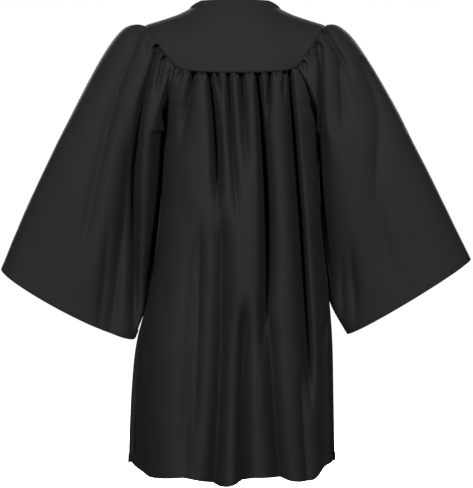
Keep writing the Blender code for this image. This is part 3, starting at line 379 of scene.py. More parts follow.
def curve_through(knots, values, places):
    """Smooth values at the given places of a curve through knots.

    A cubic runs through each pair of knots. Its slope at a knot is the mean of the slopes on both
    sides, or none where the values turn back there, so it never swings past them.
    """
    knots, values = np.asarray(knots, float), np.asarray(values, float)
    steps = np.diff(knots)
    rises = np.diff(values) / steps
    inner = np.where(rises[1:] * rises[:-1] > 0, (rises[1:] + rises[:-1]) / 2, 0.0)
    slopes = np.concatenate([rises[:1], inner, rises[-1:]])
    place = np.clip(np.searchsorted(knots, places, side="right") - 1, 0, len(steps) - 1)
    t = np.clip((places - knots[place]) / steps[place], 0.0, 1.0)
    return (
        values[place] * (2 * t**3 - 3 * t**2 + 1)
        + slopes[place] * steps[place] * (t**3 - 2 * t**2 + t)
        + values[place + 1] * (3 * t**2 - 2 * t**3)
        + slopes[place + 1] * steps[place] * (t**3 - t**2)
    )


def along(table, column, drops):
    """Smooth values of one column of a table at the given drops, which are its first column."""
    return curve_through([row[0] for row in table], [getattr(row, column) for row in table], drops)


def smooth(t):
    """Rises from 0 to 1 as t does, level at both ends."""
    t = np.clip(t, 0.0, 1.0)
    return t * t * (3 - 2 * t)


def unit(vectors):
    return vectors / np.linalg.norm(vectors, axis=-1, keepdims=True)


def facing(normals, way):
    """The normals, each turned round where it points against the given way."""
    return normals * np.where((normals * way).sum(-1, keepdims=True) < 0, -1.0, 1.0)


def grid_normals(points, ring=False):
    """Unit normals of a grid, from the differences between each point's neighbours."""
    if ring:
        across = np.roll(points, -1, axis=1) - np.roll(points, 1, axis=1)
    else:
        across = np.gradient(points, axis=1)
    return unit(np.cross(across, np.gradient(points, axis=0)))


def walked(points, axis):
    """Distances along a grid's lines in one direction, from 0 at the first point."""
    steps = np.linalg.norm(np.diff(points, axis=axis), axis=-1)
    start = np.zeros_like(np.take(steps, [0], axis=axis))
    return np.concatenate([start, np.cumsum(steps, axis=axis)], axis=axis)


def neck_back(shares, hands):
    """The top edge of the back yoke: half an ellipse round the neck, then the shoulder seams."""
    angle = np.clip(shares / BACK_NECK_SHARE, 0, 1) * np.pi / 2
    past_neck = np.clip((shares - BACK_NECK_SHARE) / (1 - BACK_NECK_SHARE), 0, 1)
    rise = NECK_BACK_RISE * np.minimum(1, np.cos(angle) / NECK_FLAT_SHARE) ** NECK_RISE_POWER
    points = np.stack(
        [
            hands * NECK_HALF_WIDTH * np.sin(angle),
            NECK_BACK_DEPTH * np.cos(angle),
            NECK_SIDE_HEIGHT + rise,
        ],
        axis=-1,
    )
    return np.where((past_neck > 0)[:, None], shoulder(past_neck, hands), points)


def neck_front(shares, hand):
    """The top edge of a front yoke: from the point of the V up to the neck, then the shoulder."""
    angle = np.clip(shares / FRONT_NECK_SHARE, 0, 1) * np.pi / 2
    past_neck = np.clip((shares - FRONT_NECK_SHARE) / (1 - FRONT_NECK_SHARE), 0, 1)
    climb = NECK_FRONT_DROP + NECK_SIDE_HEIGHT
    points = np.stack(
        [
            hand * (FRONT_EDGE + (NECK_HALF_WIDTH - FRONT_EDGE) * np.sin(angle)),
            -NECK_FRONT_DEPTH * np.cos(angle),
            climb * angle / (np.pi / 2) - NECK_FRONT_DROP,
        ],
        axis=-1,
    )
    return np.where((past_neck > 0)[:, None], shoulder(past_neck, hand), points)


def shoulder(share, hands):
    """Points along a shoulder seam, from the neck at 0 to the sleeve at 1: a slightly hollow line."""
    length = SHOULDER_REACH - NECK_HALF_WIDTH
    slope = (NECK_SIDE_HEIGHT + SHOULDER_DROP) / length + SHOULDER_HOLLOW * length
    out = length * share
    z = NECK_SIDE_HEIGHT - slope * out + SHOULDER_HOLLOW * out**2
    return np.stack([hands * (NECK_HALF_WIDTH + out), np.zeros_like(share), z], axis=-1)


def yoke(top, seam_line, neck_depth, easing_spread):
    """A yoke from its top edge to its seam: each column is the last part of a quarter turn.

    It starts tilted, more so by the neck, and hangs straight at the seam. Then the cloth is eased
    sideways, which rounds the crease below the corner of the neck.
    """
    tilt = np.radians(SEAM_TILT + NECK_TILT * np.abs(top[:, 1]) / neck_depth)
    turn = tilt + (np.pi / 2 - tilt) * np.linspace(0, 1, YOKE_ROWS + 1)[:, None]
    out = ((np.sin(turn) - np.sin(tilt)) / (1 - np.sin(tilt)))[..., None]
    down = 1 - (np.cos(turn) / np.cos(tilt))[..., None]
    span = seam_line - top
    points = top + span * np.concatenate([down, out, down], axis=-1)
    for _ in range(round(easing_spread * (len(top) - 1) ** 2)):
        points[1:-1, 1:-1] = (points[1:-1, :-2] + 2 * points[1:-1, 1:-1] + points[1:-1, 2:]) / 4
    return points


def panel_drops(top_drop):
    """The rows of a panel, as drops at its side edge: close together at the gathers and the hem."""
    gathers = np.linspace(top_drop, GATHER_END_DROP, GATHER_ROWS + 1)[:-1]
    above = np.linspace(GATHER_END_DROP, UNDERARM_DROP, 15)[:-1]
    skirt = np.linspace(UNDERARM_DROP, HEM_DROP - HEM_DEPTH, SKIRT_ROWS - 13)[:-1]
    hem = np.linspace(HEM_DROP - HEM_DEPTH, HEM_DROP, HEM_ROWS + 1)
    return np.concatenate([gathers, above, skirt, hem])


def panel(side, shares, hands, edge_drops, centre_gaps=0.0):
    """The smooth grid of a front or back: a row of cloth for each side drop.

    A row is an arc of an ellipse. It spans YOKE_SEAM_ANGLE each way at the yoke and a quarter turn
    from the underarm down, and its middle hangs below its side edges.
    """
    sag = along(SAGS, side, edge_drops)[:, None]
    depth_edge = along(EDGES, side, edge_drops)[:, None]
    depth_middle = along(MIDDLES, side, edge_drops + sag[:, 0])[:, None]
    turned = smooth((edge_drops - edge_drops[0]) / (UNDERARM_DROP - edge_drops[0]))
    widest = np.radians(YOKE_SEAM_ANGLE + (90 - YOKE_SEAM_ANGLE) * turned)[:, None]
    left, right = (along(EDGES, column, edge_drops)[:, None] for column in ("left", "right"))
    reach = np.where(hands > 0, left, right)
    even_shares = shares - COLUMN_EVENING * turned[:, None] * shares * (1 - shares**2)
    gap_angle = np.arcsin(centre_gaps / reach * np.sin(widest))
    angle = gap_angle + (widest - gap_angle) * even_shares
    x = hands * reach * np.sin(angle) / np.sin(widest)
    bulge = (np.cos(angle) - np.cos(widest)) / (1 - np.cos(widest))
    y = depth_edge + (depth_middle - depth_edge) * bulge
    lowness = smooth((edge_drops - HEM_WAVE_START) / (HEM_DROP - HEM_WAVE_START))[:, None]
    z = -(edge_drops[:, None] + sag) + sag * shares**SAG_POWER - along(HEM, side, x) * lowness
    return np.stack([x, y if side == "back" else -y, z], axis=-1)


def seen(points, side):
    """Where points appear across and down the gown, seen from as far behind or before it."""
    depth = points[..., 1] if side == "back" else -points[..., 1]
    growth = VIEW_DISTANCE / (VIEW_DISTANCE - depth)
    return points[..., 0] * growth, -CAMERA_HEIGHT - (points[..., 2] - CAMERA_HEIGHT) * growth


def fold_depths(folds, x, drop):
    """The summed depth of the folds at each point, each a bell curve across its own path."""
    total = np.zeros_like(x)
    for fold in folds:
        t = np.clip((drop - fold.start) / (fold.end - fold.start), 0.0, 1.0)
        first, second, third = (1 - t) * (1 - 2 * t), 4 * t * (1 - t), t * (2 * t - 1)
        place = fold.x_start * first + fold.x_middle * second + fold.x_end * third
        depth = fold.deep_start * first + fold.deep_middle * second + fold.deep_end * third
        width = fold.wide_start + (fold.wide_end - fold.wide_start) * np.sqrt(t)
        width *= np.where(x > place, 1 + fold.lean, 1 - fold.lean)
        growth = LONG_FOLD_GROWTH if fold.start > FIRST_LONG_FOLD else SEAM_FOLD_GROWTH
        fading = min(LONGEST_FADE, FADE_SHARE * (fold.end - fold.start))
        present = smooth((drop - fold.start) / growth) * smooth((fold.end - drop) / fading)
        total += depth * present * np.exp(-(np.abs((x - place) / width) ** TROUGH_POWER))
    return total


def crease_depths(creases, x, drop):
    """The summed depth of a sleeve's creases, each along a curve through its four places."""
    total = np.zeros_like(x)
    for crease in creases:
        t = np.clip((drop - crease.start) / (crease.end - crease.start), 0.0, 1.0)
        places = (crease.x_start, crease.x_quarter, crease.x_half, crease.x_end)
        place = curve_through((0.0, 0.25, 0.5, 1.0), places, t)
        depths = (crease.deep_start, crease.deep_middle, crease.deep_end)
        depth = curve_through((0.0, 0.5, 1.0), depths, t)
        width = crease.wide_start + (crease.wide_end - crease.wide_start) * t
        fading = min(LONGEST_FADE, FADE_SHARE * (crease.end - crease.start))
        present = smooth((drop - crease.start) / crease.growth) * smooth((crease.end - drop) / fading)
        total += depth * present * np.exp(-(np.abs((x - place) / width) ** TROUGH_POWER))
    return total


def gather_depths(gathers, across, below, presence, seed):
    """The depth of many small puckers that run down from a seam.

    across and below are distances along the seam and from it. Each pucker has a random place,
    depth, width and length, deepens quickly below the seam and then dies away.
    """
    random = np.random.default_rng(seed)
    low, high = across.min(), across.max()
    count = int((high - low) / gathers.spacing)
    places = low + (np.arange(count) + random.uniform(0.15, 0.85, count)) * (high - low) / count
    depths = gathers.deepest * random.uniform(0.35, 1.0, count)
    widths = gathers.widest * random.uniform(0.6, 1.0, count)
    lengths = gathers.longest * random.uniform(0.3, 1.0, count)
    total = np.zeros(np.broadcast(across, below).shape)
    for place, depth, width, length in zip(places, depths, widths, lengths):
        shape = (0.3 + 0.7 * smooth(below / GATHER_START)) * smooth(1 - below / length)
        total += depth * shape * np.exp(-(((across - place) / width) ** 2))
    return total * presence


def soft_dents(across, down, seed, height=0.45, shortest=26.0, longest=90.0, count=14):
    """The slight waviness of hung cloth: a sum of long sine waves in random directions."""
    random = np.random.default_rng(seed)
    total = np.zeros(np.broadcast(across, down).shape)
    for _ in range(count):
        length = random.uniform(shortest, longest)
        angle = random.uniform(0, np.pi)
        phase = random.uniform(0, 2 * np.pi)
        wave = 2 * np.pi * (across * np.cos(angle) + 0.5 * down * np.sin(angle)) / length + phase
        total += np.sin(wave) * height * length / longest
    return total / np.sqrt(count / 2)


def cuff_ring(cuff, shares):
    """The sleeve's lower edge: a flat ellipse, its back layer sagging and its front one lifted."""
    tip = np.array([cuff.tip_out, 0.0, -cuff.tip_drop])
    foot = np.array([cuff.foot_out, 0.0, -cuff.foot_drop])
    angle = 2 * np.pi * shares[:, None]
    ring = (tip + foot) / 2 + (tip - foot) / 2 * np.cos(angle)
    sine = np.sin(angle[:, 0])
    ring[:, 1] += cuff.half_depth * sine
    ring[:, 2] += np.where(sine > 0, -cuff.back_sag, cuff.front_lift) * np.abs(sine)
    return ring


def leaving(shares):
    """The way and pull with which the sleeve leaves the armhole, by the share of the way round."""
    angle = 2 * np.pi * shares
    sideways = np.sin(angle) ** 2
    top = np.clip(np.cos(angle), 0, 1)
    way = np.stack(
        [
            1.0 - OUTWARD_LOSS * sideways,
            SIDE_SPREAD * np.sin(angle),
            TOP_RISE * top - SIDE_FALL * sideways,
        ],
        axis=-1,
    )
    return way * (LEAVING_PULL + SIDE_PULL * sideways + TOP_PULL * top**2)[:, None]


def arriving(shares):
    """The way and pull with which the sleeve comes to its cuff."""
    lowness = (1 - np.cos(2 * np.pi * shares[:, None])) / 2
    return ARRIVING_TOP + (ARRIVING_UNDER - ARRIVING_TOP) * lowness


def clear_of_body(points, side_column):
    """Moves points that come too near the body's side outwards, smoothly."""
    drop = -points[..., 2]
    half_width = along(EDGES, side_column, drop)
    depth = np.where(points[..., 1] > 0, along(MIDDLES, "back", drop), along(MIDDLES, "front", drop))
    inside = np.clip(np.abs(points[..., 1]) / depth, 0, 1)
    nearest = half_width * np.sqrt(1 - inside**2) + BODY_CLEARANCE
    spare = points[..., 0] - nearest
    moved = nearest + (spare + np.sqrt(spare**2 + CLEARANCE_SOFTNESS**2)) / 2
    below = smooth((drop - UNDERARM_DROP) / CLEARANCE_START)
    points[..., 0] += (moved - points[..., 0]) * below
    return points


def smooth_sleeve(start, shares, cuff, fullness, side_column):
    """The grid of a sleeve before its creases, from the armhole to the cuff, on the wearer's left.

    Each line down it is a cubic that leaves the armhole and arrives at the cuff in its own
    direction. The cloth under the arm juts out before it hangs.
    """
    t = np.linspace(0, 1, SLEEVE_ROWS + 1)[:, None, None] ** 1.15
    end = cuff_ring(cuff, shares)
    points = (
        start * (2 * t**3 - 3 * t**2 + 1)
        + leaving(shares) * (t**3 - 2 * t**2 + t)
        + end * (3 * t**2 - 2 * t**3)
        + arriving(shares) * (t**3 - t**2)
    )
    length = t[:, :, 0]
    top = ((1 + np.cos(2 * np.pi * shares)) / 2) ** 2
    points += (curve_through(FULLNESS_PLACES, fullness, length) * top)[..., None] * FULLNESS_WAY
    underarm = np.exp(-(((shares - 0.5) / UNDERARM_WIDTH) ** 2))
    behind = np.exp(-(((shares - SHELF_ROUND) / SHELF_WIDTH) ** 2))
    shelf = np.exp(-(((length - SHELF_PLACE) / SHELF_LENGTH) ** 2)) * smooth(length / SHELF_START)
    points[..., 0] += UNDERARM_SHELF * shelf * behind
    mid_length = smooth(length / FORWARD_START) * smooth((1 - length) / FORWARD_END)
    points[..., 1] -= UNDERSIDE_FORWARD * mid_length * underarm
    points[..., 0] -= UNDERSIDE_INWARD * smooth(length / INWARD_START) * mid_length * underarm
    points[1:] = clear_of_body(points[1:], side_column)
    return points


def ring_normals(points):
    """Unit normals of a sleeve's grid, on the side that mostly points away from its hollow."""
    normals = grid_normals(points, ring=True)
    away = points - points.mean(axis=1, keepdims=True)
    return normals * np.sign((normals * away).sum())


def roll_seam(points, normals, distance):
    """Lowers cloth towards a seam, as it rolls in over its allowance."""
    return points - normals * (SEAM_DIP * np.exp(-((distance / SEAM_ROLL) ** 2)))[..., None]


def press_stitch_line(points, normals, distance, place):
    """Dents cloth along a line of stitches at a distance from its edge."""
    dip = STITCH_LINE_DIP * np.exp(-(((distance - place) / STITCH_LINE_WIDTH) ** 2))
    return points - normals * dip[..., None]


def with_allowance(points, normals, at_end):
    """Adds the rows of a seam allowance, which stands inwards behind the seam."""
    edge, way = (points[-1], normals[-1]) if at_end else (points[0], normals[0])
    rows = np.stack([edge - way * step for step in ALLOWANCE_STEPS])
    ways = np.stack([way] * len(ALLOWANCE_STEPS))
    if at_end:
        return np.concatenate([points, rows]), np.concatenate([normals, ways])
    return np.concatenate([rows[::-1], points]), np.concatenate([ways, normals])


def under_body(points, normals):
    """Adds the rows of a sleeve's seam allowance, which lies on under the body's edge."""
    edge, way = points[0], normals[0]
    onward = unit(points[0] - points[1])
    rows = np.stack([edge - way * UNDERLAP_DROP + onward * step for step in ALLOWANCE_STEPS[::-1]])
    ways = np.stack([way] * len(ALLOWANCE_STEPS))
    return np.concatenate([rows, points]), np.concatenate([ways, normals])


def with_turning(points, normals, at_end, rows):
    """Adds the rows of a hem, turned in over the edge and lying behind the cloth."""
    if at_end:
        turned = points[-2 : -2 - rows : -1] - normals[-2 : -2 - rows : -1] * TURNING_GAP
        ways = normals[-2 : -2 - rows : -1]
        edge, way = points[-1], normals[-1]
        onward = unit(points[-1] - points[-2])
    else:
        turned = points[1 : 1 + rows] - normals[1 : 1 + rows] * TURNING_GAP
        ways = normals[1 : 1 + rows]
        edge, way = points[0], normals[0]
        onward = unit(points[0] - points[1])
    fold = np.stack([edge - way * 0.18 * TURNING_GAP, edge - way * 0.82 * TURNING_GAP])
    fold += onward * TURNING_GAP * 0.35
    fold = np.concatenate([fold, (edge - way * TURNING_GAP)[None]])
    fold_ways = np.stack([way] * 3)
    if at_end:
        return np.concatenate([points, fold, turned]), np.concatenate([normals, fold_ways, ways])
    return (
        np.concatenate([turned[::-1], fold[::-1], points]),
        np.concatenate([ways[::-1], fold_ways, normals]),
    )


def sideways(function, points, normals, *settings):
    """Finishes a grid's first or last column with a function that finishes rows."""
    turned = function(points.swapaxes(0, 1), normals.swapaxes(0, 1), *settings)
    return turned[0].swapaxes(0, 1), turned[1].swapaxes(0, 1)


def surface(name, points, normals, finish, ring=False, body=BODY, cloth_across=None):
    """A mesh of a grid, its faces looking along the normals, with a UV map in metres of cloth."""
    rows, columns = points.shape[:2]
    index = np.arange(rows * columns).reshape(rows, columns)
    across = np.arange(columns) * (cloth_across or walked(points, 1)[rows // 2, -1]) / (columns - 1)
    if ring:
        index = np.concatenate([index, index[:, :1]], axis=1)
        across = np.arange(columns + 1) * cloth_across / columns
    down = walked(points, 0)[:, columns // 2]
    a, b = index[:-1, :-1], index[:-1, 1:]
    c, d = index[1:, 1:], index[1:, :-1]
    quads = np.stack([a, b, c, d], -1).reshape(-1, 4)
    middle = rows // 2 * columns + columns // 2
    corners = points.reshape(-1, 3)
    first = quads[(quads == middle).any(axis=1)][0]
    face_way = np.cross(corners[first[2]] - corners[first[0]], corners[first[3]] - corners[first[1]])
    order = [0, 1, 2, 3] if face_way @ normals.reshape(-1, 3)[middle] > 0 else [3, 2, 1, 0]
    quads = quads[:, order]
    u = np.broadcast_to(across, (rows, len(across)))
    v = np.broadcast_to(down[:, None], (rows, len(across)))
    uv_grid = np.stack([u, v], -1) * MM
    uv = np.stack([uv_grid[:-1, :-1], uv_grid[:-1, 1:], uv_grid[1:, 1:], uv_grid[1:, :-1]], 2)
    uv = uv.reshape(-1, 4, 2)[:, order]
    return build(name, corners, quads, finish, body, uv)


def build(name, points, quads, finish, body=BODY, uv=None, smooth_faces=True):
    """A Blender mesh from points in millimetres and faces of four corners each."""
    mesh = bpy.data.meshes.new(name)
    mesh.vertices.add(len(points))
    mesh.vertices.foreach_set("co", (np.asarray(points) * MM).astype(np.float32).ravel())
    mesh.loops.add(quads.size)
    mesh.loops.foreach_set("vertex_index", quads.astype(np.int32).ravel())
    mesh.polygons.add(len(quads))
    mesh.polygons.foreach_set("loop_start", np.arange(0, quads.size, 4, dtype=np.int32))
    mesh.update(calc_edges=True)
    mesh.validate()
    mesh.polygons.foreach_set("use_smooth", np.full(len(mesh.polygons), smooth_faces))
    if uv is not None:
        layer = mesh.uv_layers.new(name="cloth")
        layer.data.foreach_set("uv", uv.astype(np.float32).ravel())
    mesh.materials.append(finish)
    piece = bpy.data.objects.new(name, mesh)
    bpy.context.scene.collection.objects.link(piece)
    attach(piece, body)
    return piece


def bars(name, spines, ways, radius, finish):
    """Thin round bars along short lines of points, narrower and closed at both ends."""
    tangents = unit(np.gradient(spines, axis=1))
    sides = unit(np.cross(tangents, ways))
    ups = np.cross(sides, tangents)
    angle = np.arange(BAR_SIDES) * 2 * np.pi / BAR_SIDES
    reach = np.full(spines.shape[1], radius)
    reach[[0, -1]] *= BAR_END
    turned = sides[:, :, None] * np.cos(angle)[:, None] + ups[:, :, None] * np.sin(angle)[:, None]
    rings = spines[:, :, None] + turned * reach[:, None, None]
    index = np.arange(rings[..., 0].size).reshape(rings.shape[:3])
    here, onward = index[:, :-1], index[:, 1:]
    walls = np.stack([here, onward, np.roll(onward, -1, axis=2), np.roll(here, -1, axis=2)], -1)
    first, last = index[:, 0], index[:, -1]
    quads = [walls.reshape(-1, 4), first[:, [0, 1, 2, 3]], first[:, [0, 3, 4, 5]]]
    quads += [last[:, [3, 2, 1, 0]], last[:, [5, 4, 3, 0]]]
    return build(name, rings.reshape(-1, 3), np.concatenate(quads), finish)


def stitches(name, path, ways):
    """A line of stitches along a path on cloth that faces the given ways."""
    travelled = walked(path[:, None], 0)[:, 0]
    starts = np.arange(STITCH_PITCH / 2, travelled[-1] - STITCH_PITCH, STITCH_PITCH)
    places = starts[:, None] + STITCH_LENGTH * np.array([0.0, 0.25, 0.75, 1.0])
    ways = unit(at_places(places, travelled, ways))
    lift = STITCH_RADIUS * np.array([-0.8, 1.0, 1.0, -0.8]) - STITCH_SUNK
    spines = at_places(places, travelled, path) + ways * lift[:, None]
    return bars(name, spines, ways, STITCH_RADIUS, thread)


def at_places(places, travelled, values):
    """Vectors along a line at the given distances from its start."""
    return np.stack([np.interp(places, travelled, values[:, axis]) for axis in range(3)], axis=-1)


def line_inside(grid, normals, axis, place):
    """The line on a grid that lies at a distance from its first row or column."""
    if axis == 1:
        grid, normals = grid.swapaxes(0, 1), normals.swapaxes(0, 1)
    row = int(np.argmin(np.abs(walked(grid, 0)[:, grid.shape[1] // 2] - place)))
    return grid[row], normals[row]


def declare(grid, ring=False):
    """Measures a piece of cloth along and across its grid; the widths found are not kept."""
    across = walked(grid, 1)
    widths = across[:, -1]
    if ring:
        widths = widths + np.linalg.norm(grid[:, 0] - grid[:, -1], axis=-1)


def linear(code):
    """A linear colour from an sRGB hex value."""
    parts = np.array([int(code[i : i + 2], 16) / 255 for i in (1, 3, 5)])
    parts = np.where(parts <= 0.04045, parts / 12.92, ((parts + 0.055) / 1.055) ** 2.4)
    return (*parts.tolist(), 1.0)


def add(tree, kind, settings=None, **links):
    """Adds a node. Settings go to its properties or sockets, links join sockets to its inputs."""
    node = tree.nodes.new(kind)
    for key, value in (settings or {}).items():
        if hasattr(node, key):
            setattr(node, key, value)
        else:
            node.inputs[key].default_value = value
    for key, source in links.items():
        target = node.inputs[int(key[1:])] if key[1:].isdigit() else node.inputs[key.replace("_", " ")]
        tree.links.new(source, target)
    return node


# The threads' pitch in metres, and the bands that a wave texture of scale 1 has in a unit
THREAD_PITCH = 0.00055
WAVES_PER_UNIT = 0.314


def gown_cloth():
    """Spun polyester in a plain weave, dyed black: matte, with a faint bloom at grazing angles."""
    material = bpy.data.materials.new("black spun polyester")
    material.use_nodes = True
    tree = material.node_tree
    shader = tree.nodes["Principled BSDF"]
    shader.inputs["Roughness"].default_value = 0.78
    shader.inputs["Sheen Weight"].default_value = 0.02
    shader.inputs["Sheen Roughness"].default_value = 0.4
    shader.inputs["Sheen Tint"].default_value = linear("#aaaaaa")
    shader.inputs["Specular IOR Level"].default_value = 0.08
    cloth_uv = add(tree, "ShaderNodeUVMap", {"uv_map": "cloth"}).outputs["UV"]
    # The threads are twice as coarse as the real ones, so that they show in a close view
    bands = {"Scale": WAVES_PER_UNIT / THREAD_PITCH, "Distortion": 0.6}
    warp = add(tree, "ShaderNodeTexWave", {"bands_direction": "X"} | bands, Vector=cloth_uv)
    weft = add(tree, "ShaderNodeTexWave", {"bands_direction": "Y"} | bands, Vector=cloth_uv)
    weave = add(
        tree, "ShaderNodeMath", {"operation": "MAXIMUM"}, i0=warp.outputs["Fac"], i1=weft.outputs["Fac"]
    )
    bump = add(
        tree, "ShaderNodeBump", {"Strength": 0.35, "Distance": 0.00012}, Height=weave.outputs["Value"]
    )
    tree.links.new(bump.outputs["Normal"], shader.inputs["Normal"])
    slubs = add(
        tree, "ShaderNodeTexNoise", {"Scale": 320.0, "Detail": 4.0, "Roughness": 0.65}, Vector=cloth_uv
    )
    shade = add(tree, "ShaderNodeMix", {"data_type": "RGBA"}, i0=slubs.outputs["Fac"])
    shade.inputs[6].default_value = linear("#121212")
    shade.inputs[7].default_value = linear("#1c1c1c")
    tree.links.new(shade.outputs[2], shader.inputs["Base Color"])
    return material


def plain(name, colour, roughness, metallic=0.0, grain=900.0, unevenness=0.08):
    """A finish with a fine grain in its colour and gloss, read from object coordinates."""
    material = bpy.data.materials.new(name)
    material.use_nodes = True
    tree = material.node_tree
    shader = tree.nodes["Principled BSDF"]
    shader.inputs["Metallic"].default_value = metallic
    place = add(tree, "ShaderNodeTexCoord").outputs["Object"]
    noise = add(tree, "ShaderNodeTexNoise", {"Scale": grain, "Detail": 3.0}, Vector=place)
    gloss = add(
        tree,
        "ShaderNodeMapRange",
        {"To Min": roughness - unevenness, "To Max": roughness + unevenness},
        Value=noise.outputs["Fac"],
    )
    tree.links.new(gloss.outputs["Result"], shader.inputs["Roughness"])
    shade = add(tree, "ShaderNodeMix", {"data_type": "RGBA"}, i0=noise.outputs["Fac"])
    dark = linear(colour)
    shade.inputs[6].default_value = dark
    shade.inputs[7].default_value = tuple(min(1.0, part * 1.5) for part in dark[:3]) + (1.0,)
    tree.links.new(shade.outputs[2], shader.inputs["Base Color"])
    return material


cloth = gown_cloth()
thread = plain("black polyester thread", "#18181a", 0.6)
tape_cloth = plain("black woven zip tape", "#141415", 0.85)
coil_nylon = plain("black nylon coil", "#101011", 0.42)
zinc = plain("black painted zinc", "#0e0e0f", 0.38)

# The smooth grids of the body
back_hands = np.where(np.arange(BACK_CELLS + 1) >= BACK_CELLS // 2, 1.0, -1.0)
back_shares = np.abs(np.linspace(-1, 1, BACK_CELLS + 1))
front_shares = np.linspace(0, 1, FRONT_CELLS + 1)
back_drops = panel_drops(BACK_TOP_DROP)
front_drops = panel_drops(FRONT_TOP_DROP)
back_smooth = panel("back", back_shares, back_hands, back_drops)
back_yoke = yoke(neck_back(back_shares, back_hands), back_smooth[0], NECK_BACK_DEPTH, BACK_EASING_SPREAD)
UNDERARM_ROW = int(np.argmin(np.abs(back_drops - UNDERARM_DROP)))
opening = smooth((front_drops - ZIP_END_DROP) / (SEWN_FROM_DROP - ZIP_END_DROP))[:, None]
front_gaps = FRONT_EDGE + (SEWN_EDGE - FRONT_EDGE) * opening


def gathered_panel(smooth_grid, folds, side, shares, seed):
    """A panel with its folds pressed straight in, and gathers and dents along its own normals."""
    out = (0.0, 1.0, 0.0) if side == "back" else (0.0, -1.0, 0.0)
    depths = smooth_grid[..., 1].copy()
    inner = smooth((1 - shares[1:-1]) / EASED_FROM_SIDE)
    for _ in range(ROW_EASINGS):
        change = (depths[:-2, 1:-1] + depths[2:, 1:-1]) / 2 - depths[1:-1, 1:-1]
        depths[1:-1, 1:-1] += change * inner / 2
    smooth_grid = np.stack([smooth_grid[..., 0], depths, smooth_grid[..., 2]], axis=-1)
    seen_x, seen_drop = seen(smooth_grid, side)
    if side == "back":
        fold_depth = BACK_FOLD_DEPTH * fold_depths(folds, seen_x, seen_drop)
    else:
        fold_depth = FRONT_FOLD_DEPTH * fold_depths(folds, np.abs(seen_x), seen_drop)
    seam_across = walked(smooth_grid[:1], 1)
    below = walked(smooth_grid, 0)
    depth = gather_depths(YOKE_GATHERS, seam_across, below, 1.0, seed)
    depth -= PUFF * smooth(below / PUFF_RISE) * smooth(1 - below / PUFF_END)
    depth += soft_dents(walked(smooth_grid, 1), below, seed + 1) * smooth(below / DENT_RISE)
    fade = SIDE_FADE if side == "back" else FRONT_SIDE_FADE
    from_seam = PANEL_SEAM_SHARE + (1 - PANEL_SEAM_SHARE) * smooth(below / PANEL_SEAM_RISE)
    presence = smooth((1 - shares) / fade) * from_seam
    if side == "front":
        presence = presence * smooth((np.abs(smooth_grid[..., 0]) - ZIP_FLAT) / ZIP_FLAT_FADE)
    grid = smooth_grid - facing(grid_normals(smooth_grid), out) * (depth * presence)[..., None]
    grid -= np.multiply.outer(fold_depth * presence, out)
    return grid, facing(grid_normals(grid), out)


def finished_panel(name, grid, normals, hand=None):
    """The visible panel: rolled seams, a turned hem, and on a front a turned edge at the zip."""
    from_top, from_bottom = walked(grid, 0), walked(grid[::-1], 0)[::-1]
    grid = roll_seam(grid, normals, from_top)
    grid = roll_seam(grid, normals, walked(grid[:, ::-1], 1)[:, ::-1])
    if hand is None:
        grid = roll_seam(grid, normals, walked(grid, 1))
    else:
        grid = press_stitch_line(grid, normals, walked(grid, 1), EDGE_STITCH_PLACE)
    grid = press_stitch_line(grid, normals, from_bottom, HEM_DEPTH)
    seams = [stitches(name + "_hem_stitches", grid[-1 - HEM_ROWS], normals[-1 - HEM_ROWS])]
    if hand is not None:
        edge_line = line_inside(grid, normals, 1, EDGE_STITCH_PLACE)
        seams.append(stitches(name + "_zip_stitches", *edge_line))
    points, ways = with_allowance(grid, normals, False)
    points, ways = with_turning(points, ways, True, HEM_ROWS)
    points, ways = sideways(with_allowance, points, ways, True)
    if hand is None:
        points, ways = sideways(with_allowance, points, ways, False)
    else:
        points, ways = sideways(with_turning, points, ways, False, EDGE_TURNING_ROWS)
    piece = surface(name + "_cloth", points, ways, cloth)
    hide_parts(name)
    declare(grid)


back, back_normals = gathered_panel(back_smooth, BACK_FOLDS, "back", back_shares, 11)
finished_panel("back_panel", back, back_normals)


def finished_yoke(name, grid, out, neck_columns, hand=None):
    """The visible yoke: rolled seams and a narrow turned edge round the neck."""
    normals = facing(grid_normals(grid), out)
    from_top, from_bottom = walked(grid, 0), walked(grid[::-1], 0)[::-1]
    grid = roll_seam(grid, normals, from_bottom)
    grid = roll_seam(grid, normals, walked(grid[:, ::-1], 1)[:, ::-1])
    if hand is None:
        grid = roll_seam(grid, normals, walked(grid, 1))
    else:
        grid = press_stitch_line(grid, normals, walked(grid, 1), EDGE_STITCH_PLACE)
    grid = press_stitch_line(grid, normals, from_top, EDGE_STITCH_PLACE)
    neck_line, neck_ways = line_inside(grid, normals, 0, EDGE_STITCH_PLACE)
    seams = [stitches(name + "_neck_stitches", neck_line[neck_columns], neck_ways[neck_columns])]
    if hand is not None:
        seams.append(stitches(name + "_zip_stitches", *line_inside(grid, normals, 1, EDGE_STITCH_PLACE)))
    points, ways = with_allowance(grid, normals, True)
    points, ways = with_turning(points, ways, False, NECK_TURNING_ROWS)
    points, ways = sideways(with_allowance, points, ways, True)
    if hand is None:
        points, ways = sideways(with_allowance, points, ways, False)
    else:
        points, ways = sideways(with_turning, points, ways, False, EDGE_TURNING_ROWS)
    piece = surface(name + "_cloth", points, ways, cloth)
    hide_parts(name)
    declare(grid)


